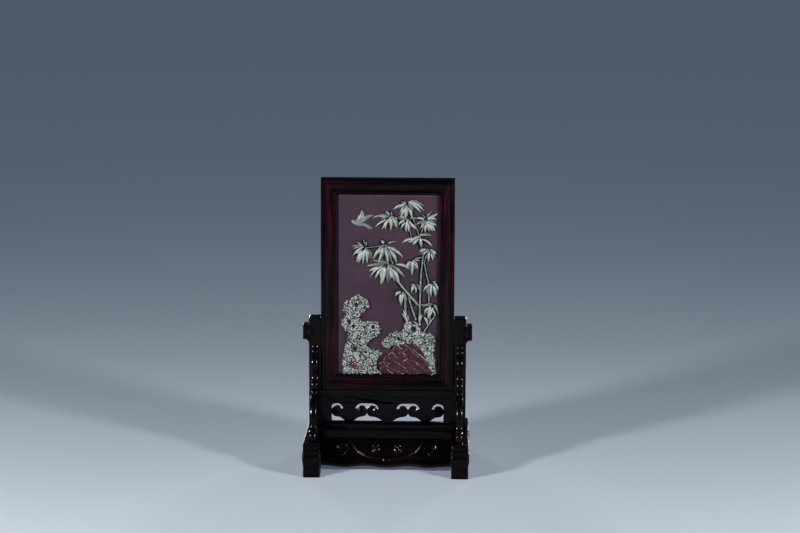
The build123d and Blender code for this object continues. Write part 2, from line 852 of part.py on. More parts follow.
pieces = {
    "frame_top_rail": frame_top_rail,
    "frame_bottom_rail": frame_bottom_rail,
    "frame_left_stile": frame_left_stile,
    "frame_right_stile": frame_right_stile,
    "stone_panel": stone_panel,
    "back_board": back_board,
    "bamboo_carving": bamboo_carving,
    "bird_carving": bird_carving,
    "left_rock_carving": left_rock_carving,
    "right_rock_carving": right_rock_carving,
    "red_rock_carving": red_rock_carving,
    "waist_panel": waist_panel,
    "upper_stretcher": upper_stretcher,
    "lower_stretcher": lower_stretcher,
    "left_upright": left_upright,
    "right_upright": right_upright,
    "left_foot": left_foot,
    "right_foot": right_foot,
    "front_left_spandrel": front_left_spandrel,
    "front_right_spandrel": front_right_spandrel,
    "rear_left_spandrel": rear_left_spandrel,
    "rear_right_spandrel": rear_right_spandrel,
    "front_apron": front_apron,
    "rear_apron": rear_apron,
}

for label, piece in pieces.items():
    piece.part.label = label
    export_step(piece.part, f"parts/{label}.step")
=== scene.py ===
"""The dressed carved stone table screen: a stone panel in a moulded rosewood frame, on its low stand.

Sizes are in metres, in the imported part's own frame: X to the right, the carved front faces -Y, Z is up.
"""

import math

import bmesh
import bpy
import numpy as np
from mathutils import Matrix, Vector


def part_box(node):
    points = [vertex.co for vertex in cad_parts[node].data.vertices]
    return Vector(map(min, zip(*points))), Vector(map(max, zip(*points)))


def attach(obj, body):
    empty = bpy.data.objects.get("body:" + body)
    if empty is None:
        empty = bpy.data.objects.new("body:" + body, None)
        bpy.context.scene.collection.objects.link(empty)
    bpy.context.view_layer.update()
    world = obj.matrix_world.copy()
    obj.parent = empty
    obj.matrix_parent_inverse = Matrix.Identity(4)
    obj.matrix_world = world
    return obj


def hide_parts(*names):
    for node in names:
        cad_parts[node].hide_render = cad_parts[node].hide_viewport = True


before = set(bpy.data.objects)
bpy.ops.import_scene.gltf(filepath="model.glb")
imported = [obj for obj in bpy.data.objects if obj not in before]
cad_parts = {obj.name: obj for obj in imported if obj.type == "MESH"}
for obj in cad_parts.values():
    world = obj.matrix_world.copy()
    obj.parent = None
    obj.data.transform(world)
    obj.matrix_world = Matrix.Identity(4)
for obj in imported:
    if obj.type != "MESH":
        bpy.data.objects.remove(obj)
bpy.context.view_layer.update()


# Feet. Each is one billet of dense dark rosewood, sawn to a moulded outline, its rims rubbed
# round and polished with wax. It stands on the table, and a mortise in its top holds an upright.
foot_low, foot_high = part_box("right_foot")
foot_boss_reach = 0.0016
foot_rim = 0.0024
foot_bead_radius = 0.0031
foot_bead_pitch = 0.0090
foot_body_y = foot_low.y + 0.0042
plinth_y = foot_low.y + 0.0020
plinth_top = 0.0150
plinth_bead_radius = 0.0024
foot_arch_half = 0.0640
foot_arch_rise = 0.0090
foot_arch_ogee = 0.0140
boss_radius = 0.0105
boss_inset = 0.0155
boss_z = 0.0320


def linear(code):
    """Return an sRGB hex colour as linear red, green and blue with alpha 1."""
    parts = [int(code[i : i + 2], 16) / 255 for i in (1, 3, 5)]
    return [p / 12.92 if p <= 0.04045 else ((p + 0.055) / 1.055) ** 2.4 for p in parts] + [1.0]


def add(tree, kind, settings=None, links=None):
    """Add a node, set its properties, sockets or ramp stops, and link its inputs. Return the node."""
    node = tree.nodes.new(kind)
    for name, value in (settings or {}).items():
        if name == "stops":
            while len(node.color_ramp.elements) < len(value):
                node.color_ramp.elements.new(0.5)
            for element, (place, code) in zip(node.color_ramp.elements, value):
                element.position = place
                element.color = linear(code)
        elif isinstance(name, str) and hasattr(node, name):
            setattr(node, name, value)
        else:
            node.inputs[name].default_value = value
    for name, source in (links or {}).items():
        tree.links.new(source, node.inputs[name])
    return node


def rosewood(name, grain_axis, heart):
    """Old rosewood, planed and wax polished: nearly black, with streaks of heart colour along the grain.

    The wax gives a thin clear gloss with small hard lights, and open pores leave short dark dashes in it.
    """
    streak_width = 0.0022
    streak_length = 0.110
    pore_width = 0.00045
    pore_length = 0.009
    material = bpy.data.materials.new(name)
    material.use_nodes = True
    tree = material.node_tree
    surface = tree.nodes["Principled BSDF"]
    surface.inputs["IOR"].default_value = 1.5
    surface.inputs["Specular IOR Level"].default_value = 0.05
    surface.inputs["Coat Weight"].default_value = 0.14
    surface.inputs["Coat Roughness"].default_value = 0.10
    place = add(tree, "ShaderNodeTexCoord").outputs["Object"]
    streak_scale = [1 / streak_width] * 3
    streak_scale[grain_axis] = 1 / streak_length
    pore_scale = [1 / pore_width] * 3
    pore_scale[grain_axis] = 1 / pore_length
    long_place = add(tree, "ShaderNodeMapping", {"Scale": streak_scale}, {"Vector": place})
    streaks = add(
        tree,
        "ShaderNodeTexNoise",
        {"Scale": 1.0, "Detail": 5.0, "Roughness": 0.6, "Distortion": 0.4},
        {"Vector": long_place.outputs[0]},
    )
    figure = add(
        tree,
        "ShaderNodeValToRGB",
        {"stops": [(0.38, "#030204"), (0.52, "#080308"), (0.74, heart)]},
        {"Fac": streaks.outputs["Fac"]},
    )
    cloud = add(tree, "ShaderNodeTexNoise", {"Scale": 22.0, "Detail": 2.0}, {"Vector": place})
    shade = add(
        tree,
        "ShaderNodeValToRGB",
        {"stops": [(0.35, "#8a8086"), (0.65, "#ffffff")]},
        {"Fac": cloud.outputs["Fac"]},
    )
    tinted = add(
        tree,
        "ShaderNodeMix",
        {"data_type": "RGBA", "blend_type": "MULTIPLY", 0: 1.0},
        {6: figure.outputs["Color"], 7: shade.outputs["Color"]},
    )
    short_place = add(tree, "ShaderNodeMapping", {"Scale": pore_scale}, {"Vector": place})
    pores = add(tree, "ShaderNodeTexNoise", {"Scale": 1.0, "Detail": 2.0}, {"Vector": short_place.outputs[0]})
    gloss = add(
        tree,
        "ShaderNodeMapRange",
        {"From Min": 0.3, "From Max": 0.7, "To Min": 0.20, "To Max": 0.36},
        {"Value": pores.outputs["Fac"]},
    )
    pore_relief = {"Strength": 0.25, "Distance": 0.00012}
    relief = add(tree, "ShaderNodeBump", pore_relief, {"Height": pores.outputs["Fac"]})
    tree.links.new(tinted.outputs[2], surface.inputs["Base Color"])
    tree.links.new(gloss.outputs[0], surface.inputs["Roughness"])
    tree.links.new(relief.outputs[0], surface.inputs["Normal"])
    return material


# One wood in several copies: the heart colour is kept darker on the stretchers, openwork, aprons and feet
# than on the posts and spandrels, as painted shade.
rosewood_across = rosewood("polished_rosewood_grain_across", 0, "#1d0a14")
rosewood_deep = rosewood("polished_rosewood_grain_deep", 1, "#1d0a14")
rosewood_upright = rosewood("polished_rosewood_grain_upright", 2, "#380d1f")


def fasten(piece, body, slot, *nodes):
    """Let a finished piece ride on its body and stand for CAD nodes, which are hidden. Its slot is not used.
    """
    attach(piece, body)
    if nodes:
        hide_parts(*nodes)
    return piece


def make_piece(name, points, faces, finish, crease=35):
    """Put points in metres and faces into a mesh piece, smooth but for edges sharper than the crease."""
    mesh = bpy.data.meshes.new(name)
    mesh.from_pydata(np.asarray(points).reshape(-1, 3).tolist(), [], faces)
    mesh.shade_smooth()
    mesh.set_sharp_from_angle(angle=math.radians(crease))
    mesh.materials.append(finish)
    mesh.validate()
    piece = bpy.data.objects.new(name, mesh)
    bpy.context.scene.collection.objects.link(piece)
    return piece


def grid_faces(rows, columns, closed=False, start=0):
    """Join a grid of points, row after row, by four-sided faces; closed joins its last and first columns."""
    row = np.arange(rows - 1)[:, None]
    column = np.arange(columns if closed else columns - 1)[None, :]
    following = (column + 1) % columns
    first = row * columns + column
    second = row * columns + following
    quads = np.stack([first, second, second + columns, first + columns], -1).reshape(-1, 4)
    return (quads + start).tolist()


def prism_faces(rows, columns):
    """Join rings of points into a tube, and close it with a face at its first ring and one at its last."""
    faces = grid_faces(rows, columns, closed=True)
    faces.append(list(range(columns))[::-1])
    faces.append(list(range((rows - 1) * columns, rows * columns)))
    return faces


def arc(centre, radii, first, last, count):
    """Points on an elliptical arc, evenly spaced between two angles in degrees."""
    turn = np.radians(np.linspace(first, last, count))
    return np.stack([centre[0] + radii[0] * np.cos(turn), centre[1] + radii[1] * np.sin(turn)], -1)


def inset(outline, distance):
    """Move each point of a closed anticlockwise outline inward, along the mean of its two sides' normals."""
    back = outline - np.roll(outline, 1, 0)
    ahead = np.roll(outline, -1, 0) - outline
    back_normal = np.stack([-back[:, 1], back[:, 0]], -1) / np.linalg.norm(back, axis=1)[:, None]
    ahead_normal = np.stack([-ahead[:, 1], ahead[:, 0]], -1) / np.linalg.norm(ahead, axis=1)[:, None]
    mean = back_normal + ahead_normal
    mean /= np.maximum(np.linalg.norm(mean, axis=1), 0.3)[:, None]
    reach = 1 / np.maximum((mean * ahead_normal).sum(1), 0.6)
    return outline + mean * (distance * reach)[:, None]


def sawn_across(outline, low, high, rim, draw):
    """Carry a closed outline of (y, z) points along X, with rims that curve inward by a quarter ellipse.

    The curve takes `rim` of the width at each side and draws the outline in by `draw`.
    """
    turn = np.linspace(0, math.pi / 2, 6)
    places = np.concatenate([low + rim * (1 - np.sin(turn[::-1])), high - rim * (1 - np.sin(turn))])
    draws = np.concatenate([draw * (1 - np.cos(turn[::-1])), draw * (1 - np.cos(turn))])
    rings = []
    for place, drawn in zip(places, draws):
        ring = inset(outline, drawn)
        rings.append(np.column_stack([np.full(len(ring), place), ring]))
    count = len(outline)
    faces = grid_faces(len(rings), count, closed=True)
    faces = [face[::-1] for face in faces]
    faces.append(list(range(count))[::-1])
    faces.append(list(range((len(rings) - 1) * count, len(rings) * count)))
    return np.stack(rings), faces


def foot_outline():
    """The foot's side view, anticlockwise in (y, z): two beads, a swelling, a plinth and a low arch."""
    bead_y = foot_body_y + 0.0003
    top = foot_high.z
    front = [
        np.array([[0.0, top], [foot_body_y, top]]),
        arc((bead_y, top - 0.5 * foot_bead_pitch), [foot_bead_radius] * 2, 95, 265, 9),
        arc((bead_y, top - 1.5 * foot_bead_pitch), [foot_bead_radius] * 2, 95, 265, 9),
        arc((foot_body_y, boss_z - 0.003), (0.0028, boss_radius), 90, 270, 13),
        np.array([[foot_body_y, plinth_top], [plinth_y, plinth_top]]),
        arc((foot_low.y + plinth_bead_radius, plinth_bead_radius), [plinth_bead_radius] * 2, 100, 270, 9),
        np.array([[-foot_arch_half, 0.0]]),
        arc((-foot_arch_half + foot_arch_ogee, 0.0), (foot_arch_ogee, foot_arch_rise), 170, 90, 7),
    ]
    half = np.concatenate(front)
    other = half[:0:-1] * [-1, 1]
    return np.concatenate([half, other])


def round_boss(name, centre, side, finish):
    """A turned boss: a dome inside a ring, both from cosines of the distance to its centre."""
    steps = np.linspace(0, 1, 15)
    dome_share = 0.62
    dome = np.cos(steps / dome_share * math.pi / 2)
    ring = np.sin((steps - dome_share) / (1 - dome_share) * math.pi)
    rise = np.abs(np.where(steps < dome_share, dome, ring)) ** 0.5
    turn = np.radians(np.arange(0, 360, 10))
    reach = foot_boss_reach * np.clip(rise, 0.05, 1)
    reach[-1] = -0.0004
    points = np.zeros((len(steps), len(turn), 3))
    points[..., 0] = centre[0] + side * reach[:, None]
    points[..., 1] = centre[1] + boss_radius * np.maximum(steps, 0.02)[:, None] * np.cos(turn)
    points[..., 2] = centre[2] + boss_radius * np.maximum(steps, 0.02)[:, None] * np.sin(turn)
    faces = grid_faces(len(steps), len(turn), closed=True)
    faces.append(list(range(len(turn)))[::-1])
    if side > 0:
        faces = [face[::-1] for face in faces]
    return make_piece(name, points, faces, finish, crease=50)


foot_width = foot_high.x - foot_low.x - 2 * foot_boss_reach
for label, side in (("left", -1), ("right", 1)):
    inner = foot_low.x + foot_boss_reach
    edges = sorted([side * inner, side * (inner + foot_width)])
    points, faces = sawn_across(foot_outline(), edges[0], edges[1], foot_rim, 0.0018)
    foot = make_piece(f"{label}_foot_billet", points, faces, rosewood_deep)
    fasten(foot, "stand", "hardwood", f"{label}_foot")
    for face_label, face_x, outward in (("inner", edges[0], -1), ("outer", edges[1], 1)):
        for end_label, end in (("front", -1), ("rear", 1)):
            centre = (face_x, end * (-foot_low.y - boss_inset), boss_z)
            boss = round_boss(f"{label}_foot_{face_label}_{end_label}_boss", centre, outward, rosewood_deep)
            fasten(boss, "stand", "hardwood")


# Uprights, stretchers and the openwork panel. They are sawn from boards, and all but the openwork have
# their arrises just eased by a scraper. They are tenoned together; the frame drops into the grooves.
def eased(name, node, finish, ease=0.0005, angle=40):
    """Return a copy of a sawn CAD piece. With an ease, its flat faces are joined and its edges rounded."""
    work = bmesh.new()
    work.from_mesh(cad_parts[node].data)
    bmesh.ops.remove_doubles(work, verts=work.verts, dist=0.00001)
    if ease:
        bmesh.ops.dissolve_limit(work, angle_limit=math.radians(0.5), verts=work.verts, edges=work.edges)
    mesh = bpy.data.meshes.new(name)
    work.to_mesh(mesh)
    work.free()
    mesh.shade_smooth()
    mesh.set_sharp_from_angle(angle=math.radians(30))
    mesh.materials.clear()
    mesh.materials.append(finish)
    piece = bpy.data.objects.new(name, mesh)
    bpy.context.scene.collection.objects.link(piece)
    if ease:
        bevel = piece.modifiers.new("eased edges", "BEVEL")
        bevel.width = ease
        bevel.segments = 2
        bevel.limit_method = "ANGLE"
        bevel.angle_limit = math.radians(angle)
        bevel.use_clamp_overlap = False
        bevel.harden_normals = True
    return piece


for label in ("left", "right"):
    post = eased(f"{label}_post", f"{label}_upright", rosewood_upright)
    fasten(post, "stand", "hardwood", f"{label}_upright")
for label, node in (("frame_rest_rail", "upper_stretcher"), ("waist_rail", "lower_stretcher")):
    fasten(eased(label, node, rosewood_across, 0.0007), "stand", "hardwood", node)
waist = eased("openwork_waist", "waist_panel", rosewood_across, ease=0)
fasten(waist, "stand", "hardwood", "waist_panel")


# Spandrels. Four scrolled brackets of the same rosewood stand on the feet and brace the uprights. Their
# edges are carved round like a bolster, so each swelling shows two long lights.
spandrel_edge = [
    (0.060, 0.945, 0.33),
    (0.080, 0.885, 0.33),
    (0.160, 0.690, 0.29),
    (0.180, 0.610, -0.20),
    (0.240, 0.500, 0.30),
    (0.270, 0.445, 0.33),
    (0.660, 0.155, 0.22),
    (0.840, 0.125, -0.28),
    (0.930, 0.000, 0.36),
]
post_front = -0.0130
spandrel_reach = 0.077
spandrel_rise = 0.156
bolster_draw = 0.0026


def bulged(start, end, bulge, count):
    """Points on the arc from start to end whose middle stands off the chord by a share of its length."""
    chord = end - start
    length = np.hypot(*chord)
    outward = np.array([chord[1], -chord[0]]) / length
    sagitta = abs(bulge) * length
    radius = (length**2 / 4 + sagitta**2) / (2 * sagitta)
    side = math.copysign(1, bulge)
    centre = (start + end) / 2 + outward * side * (sagitta - radius)
    first = math.atan2(*(start - centre)[::-1])
    middle = math.atan2(*(outward * side)[::-1])
    half = (middle - first + math.pi) % (2 * math.pi) - math.pi
    turn = first + np.linspace(0, 2 * half, count)[:-1]
    return np.stack([centre[0] + radius * np.cos(turn), centre[1] + radius * np.sin(turn)], -1)


def spandrel_outline():
    """The front bracket's side view in (y, z): arcs down its outer edge, then along foot and post."""
    corner = np.array([post_front, foot_high.z])
    start = corner + [0, spandrel_rise]
    runs = []
    for reach_share, rise_share, bulge in spandrel_edge:
        end = corner + [-spandrel_reach * reach_share, spandrel_rise * rise_share]
        runs.append(bulged(start, end, bulge, 14))
        start = end
    runs.append(np.array([start, corner]))
    return np.concatenate(runs)


for depth_label, depth_side in (("front", 1), ("rear", -1)):
    for label in ("left", "right"):
        node = f"{depth_label}_{label}_spandrel"
        low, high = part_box(node)
        outline = spandrel_outline()
        if depth_side < 0:
            outline = (outline * [-1, 1])[::-1]
        half = (high.x - low.x) / 2
        points, faces = sawn_across(outline, low.x, high.x, half * 0.98, bolster_draw)
        bracket = make_piece(f"{node}_bolster", points, faces, rosewood_upright, crease=50)
        fasten(bracket, "stand", "hardwood", node)


# Aprons. Two boards lean outward between the feet under the waist rail, glued to it and to the feet.
# Their faces are carved in low relief: a swagged field with a pair of scrolls, and a large volute
# at each side.
apron_low, apron_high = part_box("front_apron")
apron_half = apron_high.x
apron_head = np.array([post_front, apron_high.z])
apron_thickness = 0.0070
apron_foot = np.array([apron_low.y, 0.0120])
apron_fall = np.hypot(*(apron_foot - apron_head))
apron_wave = 0.0032
apron_crest_share, apron_dip_share = 0.34, 0.62
apron_ground = -0.0009
swag = np.array([(0, 43), (10, 42.5), (26, 40), (38, 35), (49, 28), (56, 18), (61, 8), (64, 0)]) / 1000
swag_swell = 0.0019
volute_centre, volute_radii, volute_turns = (0.0780, 0.0250), (0.0135, 0.0025), 1.7
scroll_centre, scroll_radii, scroll_turns = (0.0180, 0.0200), (0.0090, 0.0016), 1.6


def spiral(centre, radii, first, turns, hand, count):
    """Points on a spiral from a first angle in degrees, its radius shrinking evenly as it turns by hand."""
    share = np.linspace(0, 1, count)
    angle = math.radians(first) + hand * 2 * math.pi * turns * share
    radius = radii[0] + (radii[1] - radii[0]) * share
    return np.stack([centre[0] + radius * np.cos(angle), centre[1] + radius * np.sin(angle)], -1)


def strand(x, s, points, half_width, rise):
    """Height of a round bead along a line of points: a half ellipse of the distance to the nearest."""
    away = np.full(x.shape, 1.0)
    for part in np.array_split(points, max(1, len(points) // 20)):
        away = np.minimum(away, np.hypot(x[..., None] - part[:, 0], s[..., None] - part[:, 1]).min(-1))
    return rise * np.sqrt(np.clip(1 - (away / half_width) ** 2, 0, 1))


def apron_relief(x, s, edge):
    """Height of the apron's carving, x across it and s down it, with its waved edge at s = edge."""
    across = np.abs(x)
    hem = np.interp(across, swag[:, 0], swag[:, 1], right=0)
    inside = np.clip((hem - s) / 0.0035, 0, 1)
    fall = 0.75 + 0.25 * s / np.maximum(hem, 0.004)
    field = swag_swell * np.sqrt(np.clip(1 - (1 - inside) ** 2, 0, 1)) * fall
    out = np.linspace(0, swag[-1, 0], 160)
    line = np.stack([out, np.interp(out, *swag.T)], -1)
    lip = strand(across, s, line, 0.0014, 0.0007)
    volute = strand(across, s, spiral(volute_centre, volute_radii, 200, volute_turns, 1, 260), 0.0023, 0.0027)
    scroll = strand(across, s, spiral(scroll_centre, scroll_radii, 90, scroll_turns, -1, 170), 0.0012, 0.0010)
    drop = strand(across, s, arc((0.0, 0.0360), (0.0085, 0.0095), 50, 90, 30), 0.0013, 0.0011)
    fillet = 0.0011 * np.sqrt(np.clip(1 - ((edge - 0.0022 - s) / 0.0015) ** 2, 0, 1))
    field = field + np.maximum(lip, np.maximum(scroll, drop))
    return apron_ground + np.maximum(np.maximum(field, volute), fillet)


def apron_board(name, side, finish):
    """A sloping board: down its carved face to a waved edge, back up its inner face, carried along X."""
    x = np.linspace(-apron_half, apron_half, 340)[:, None]
    down = (apron_foot - apron_head) / apron_fall
    out = np.array([down[1], -down[0]])
    stops = [0, apron_crest_share, apron_dip_share, 1]
    place = np.abs(x) / apron_half
    step = np.searchsorted(stops, place, side="right").clip(1, 3)
    lows, highs = np.array(stops)[step - 1], np.array(stops)[step]
    eased_share = (1 - np.cos(math.pi * (place - lows) / (highs - lows))) / 2
    raised = np.where(step == 2, 1 - eased_share, eased_share)
    edge = apron_fall - apron_wave * raised
    s = np.linspace(0, 1, 84) * edge
    level = apron_relief(np.broadcast_to(x, s.shape), s, edge)
    level[[0, -1]] = apron_ground
    inner_top = -apron_thickness * out[1] / down[1]
    s = np.concatenate([s, edge, np.full_like(x, inner_top)], 1)
    level = np.concatenate([level, np.full_like(x, -apron_thickness), np.full_like(x, -apron_thickness)], 1)
    y = apron_head[0] + s * down[0] + level * out[0]
    z = apron_head[1] + s * down[1] + level * out[1]
    points = np.stack([np.broadcast_to(x, s.shape), side * y, np.minimum(z, apron_high.z)], -1)
    faces = prism_faces(*s.shape)
    if side < 0:
        faces = [face[::-1] for face in faces]
    return make_piece(name, points, faces, finish, crease=40)


for label, side in (("front", 1), ("rear", -1)):
    fasten(apron_board(f"{label}_apron_board", side, rosewood_across), "stand", "hardwood", f"{label}_apron")


# Frame. Two rails are tenoned into two stiles and mitred over the joint. One moulding is planed along
# all four before they are joined: arris, flat, quirk, deep cove and an inner bead that holds the stone.
stile_low, stile_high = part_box("frame_left_stile")
screen_half_x = -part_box("frame_top_rail")[0].x
frame_bottom, frame_top = stile_low.z, stile_high.z
frame_front = -stile_low.y
member_width = 0.026
arris = 0.0022
outer_flat = 0.0070
quirk_width = 0.0014
quirk_depth = 0.0010
bead_width = 0.0052
bead_rise = 0.0023
cove_sink = 0.0042
cove_sag = 0.0014

# The stiles get a redder heart than the rails: a painted red sheen where light catches their coves.
rosewood_rail = rosewood("polished_rosewood_frame_rail", 0, "#3a0d1f")
rosewood_stile = rosewood("polished_rosewood_frame_stile", 2, "#5e1229")


def three_point_arc(start, middle, end, count):
    """Points on the circle through three points, from the first to the last."""
    start, middle, end = (np.array(p, float) for p in (start, middle, end))
    sides = np.array([middle - start, end - start])
    centre = start + np.linalg.solve(sides, (sides**2).sum(1) / 2)
    angles = [math.atan2(*(p - centre)[::-1]) for p in (start, middle, end)]
    whole = (angles[2] - angles[0]) % (2 * math.pi)
    if (angles[1] - angles[0]) % (2 * math.pi) > whole:
        whole -= 2 * math.pi
    turn = angles[0] + np.linspace(0, whole, count)
    radius = np.hypot(*(start - centre))
    return centre + radius * np.stack([np.cos(turn), np.sin(turn)], -1)


def moulding_profile():
    """The member's section: (distance in from the outer edge, distance out from the middle of its depth)."""
    quirk_floor = frame_front - quirk_depth
    cove_start = outer_flat + quirk_width
    cove_end = member_width - bead_width
    cove_floor = frame_front - cove_sink
    cove_middle = ((cove_start + cove_end) / 2, (quirk_floor + cove_floor) / 2 - cove_sag)
    bead_top = (member_width - bead_width / 2, cove_floor + bead_rise)
    return np.concatenate(
        [
            [[0.0, 0.0015 - frame_front]],
            arc((arris, frame_front - arris), (arris, arris), 180, 90, 7),
            [[outer_flat - 0.0004, frame_front], [outer_flat, frame_front - 0.0004]],
            [[outer_flat, quirk_floor], [cove_start - 0.0003, quirk_floor]],
            three_point_arc((cove_start, quirk_floor), cove_middle, (cove_end, cove_floor), 15),
            three_point_arc((cove_end, cove_floor), bead_top, (member_width, cove_floor), 13),
            [[member_width, -frame_front], [0.0015, -frame_front]],
        ]
    )


def moulding(name, corners, finish):
    """Loft the moulding between the mitres at two outer corners, going anticlockwise seen from the front."""
    profile = moulding_profile()
    start, end = (np.array(c, float) for c in corners)
    along = (end - start) / np.linalg.norm(end - start)
    inward = np.array([-along[1], along[0]])
    ends = []
    for corner, sign in ((start, 1), (end, -1)):
        flat = corner + profile[:, :1] * (inward + sign * along)
        ends.append(np.column_stack([flat[:, 0], -profile[:, 1], flat[:, 1]]))
    return make_piece(name, np.stack(ends), prism_faces(2, len(profile)), finish)


outer_corners = {
    "bottom_left": (-screen_half_x, frame_bottom),
    "bottom_right": (screen_half_x, frame_bottom),
    "top_right": (screen_half_x, frame_top),
    "top_left": (-screen_half_x, frame_top),
}
frame_runs = [
    ("bottom_rail", "bottom_left", "bottom_right", rosewood_rail),
    ("right_stile", "bottom_right", "top_right", rosewood_stile),
    ("top_rail", "top_right", "top_left", rosewood_rail),
    ("left_stile", "top_left", "bottom_left", rosewood_stile),
]
for label, first, second, finish in frame_runs:
    member = moulding(f"{label}_moulding", (outer_corners[first], outer_corners[second]), finish)
    fasten(member, "screen", "hardwood", f"frame_{label}")

# Tongues. Each stile keeps a tongue low on its outer edge, its corners taken off to enter the post's groove.
tongue_half, tongue_corner, tongue_lead = 0.0037, 0.0008, 0.0015
tongue_bottom, tongue_top = 0.1360, 0.2550
tongue_side = np.array(
    [
        (tongue_half - tongue_corner, tongue_bottom),
        (tongue_half, tongue_bottom + tongue_lead),
        (tongue_half, tongue_top - tongue_lead),
        (tongue_half - tongue_corner, tongue_top),
    ]
)
tongue_outline = np.concatenate([tongue_side, tongue_side[::-1] * [-1, 1]])
for side, inner, outer in (("left", -0.1197, -0.1130), ("right", 0.1130, 0.1197)):
    tongue, tongue_faces = sawn_across(tongue_outline, inner, outer, 0.0006, 0.0006)
    fasten(make_piece(f"{side}_stile_tongue", tongue, tongue_faces, rosewood_stile), "screen", "hardwood")



# Stone slab. A slab of purple river stone, honed smooth, with a polished bevel round the face that shows.
# It lies in the frame's grooves with a thin board behind it.
stone_low, stone_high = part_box("stone_panel")
sight_half = screen_half_x - member_width
sight_bottom = frame_bottom + member_width
sight_top = frame_top - member_width
stone_face = stone_low.y
bevel_start = 0.0012
bevel_width = 0.0020
bevel_drop = 0.0016
ground_cut = 0.0022
edge_band = 0.0080
sight_corner = 0.0040


def value_noise(x, z, size, seed):
    """Smooth noise from 0 to 1: random values at the corners of cells, eased and blended between them."""
    table = np.random.default_rng(seed).random((128, 128))
    u, v = x / size, z / size
    column, row = np.floor(u).astype(int), np.floor(v).astype(int)
    u, v = u - column, v - row
    u, v = u * u * (3 - 2 * u), v * v * (3 - 2 * v)
    low = table[row % 128, column % 128] * (1 - u) + table[row % 128, (column + 1) % 128] * u
    high = table[(row + 1) % 128, column % 128] * (1 - u) + table[(row + 1) % 128, (column + 1) % 128] * u
    return low * (1 - v) + high * v


def set_measure(piece, name, values):
    """Keep one number for each point of a piece, for its material to read."""
    measure = piece.data.attributes.new(name, "FLOAT", "POINT")
    measure.data.foreach_set("value", np.asarray(values, np.float32).ravel())


def honed_stone(name, stops, cloud_size, speck_size, roughness, worn, shade_hue):
    """Honed soft stone: mottled in clouds and fine specks, with a pale painted highlight and a dark painted
    shade laid on by each point's measures.

    It reflects softly, with a slight wax sheen.
    """
    material = bpy.data.materials.new(name)
    material.use_nodes = True
    tree = material.node_tree
    surface = tree.nodes["Principled BSDF"]
    surface.inputs["Roughness"].default_value = roughness
    surface.inputs["IOR"].default_value = 1.54
    surface.inputs["Specular IOR Level"].default_value = 0.35
    place = add(tree, "ShaderNodeTexCoord").outputs["Object"]
    cloudy = {"Scale": 1 / cloud_size, "Detail": 6.0, "Roughness": 0.6}
    clouds = add(tree, "ShaderNodeTexNoise", cloudy, {"Vector": place})
    colour = add(tree, "ShaderNodeValToRGB", {"stops": stops}, {"Fac": clouds.outputs["Fac"]})
    specks = add(tree, "ShaderNodeTexNoise", {"Scale": 1 / speck_size, "Detail": 3.0}, {"Vector": place})
    speck_shade = add(
        tree,
        "ShaderNodeValToRGB",
        {"stops": [(0.35, "#d8d4d2"), (0.65, "#ffffff")]},
        {"Fac": specks.outputs["Fac"]},
    )
    tone = add(
        tree,
        "ShaderNodeMix",
        {"data_type": "RGBA", "blend_type": "MULTIPLY", 0: 1.0},
        {6: colour.outputs["Color"], 7: speck_shade.outputs["Color"]},
    )
    # The first measure mixes in a pale painted highlight, the second a dark painted shade.
    for measure, hue in (("worn", worn), ("cut", shade_hue)):
        share = add(tree, "ShaderNodeAttribute", {"attribute_name": measure})
        tone = add(
            tree,
            "ShaderNodeMix",
            {"data_type": "RGBA", 7: linear(hue)},
            {0: share.outputs["Fac"], 6: tone.outputs[2]},
        )
    grain_relief = {"Strength": 0.2, "Distance": 0.0001}
    grain = add(tree, "ShaderNodeBump", grain_relief, {"Height": specks.outputs["Fac"]})
    tree.links.new(tone.outputs[2], surface.inputs["Base Color"])
    tree.links.new(grain.outputs[0], surface.inputs["Normal"])
    return material


purple_stone = honed_stone(
    "honed_purple_stone",
    [(0.30, "#2e1526"), (0.50, "#391b31"), (0.72, "#45253c")],
    0.045,
    0.0009,
    0.42,
    "#8d7c8b",
    "#08050a",
)
green_stone = honed_stone(
    "carved_green_stone",
    [(0.30, "#6a756f"), (0.50, "#838e88"), (0.70, "#9da69f")],
    0.006,
    0.0007,
    0.36,
    "#e8eee6",
    "#0a0c0b",
)
red_stone = honed_stone(
    "carved_red_stone",
    [(0.30, "#2a0815"), (0.55, "#471024"), (0.75, "#681a33")],
    0.008,
    0.0008,
    0.34,
    "#8a5d6c",
    "#10050a",
)


# Bamboo. Sprays of pointed leaves and jointed culms, left standing in the green layer of the stone and
# deeply undercut; the dark gaps between them are painted shade on the cut-back ground and the leaf roots.
art_half = sight_half
art_height = sight_top - sight_bottom


def on_stone(x_share, z_share):
    """Return places on the stone's face in metres: x from -1 to 1 across it, z from 0 to 1 up it."""
    return np.stack([np.asarray(x_share) * art_half, sight_bottom + np.asarray(z_share) * art_height], -1)


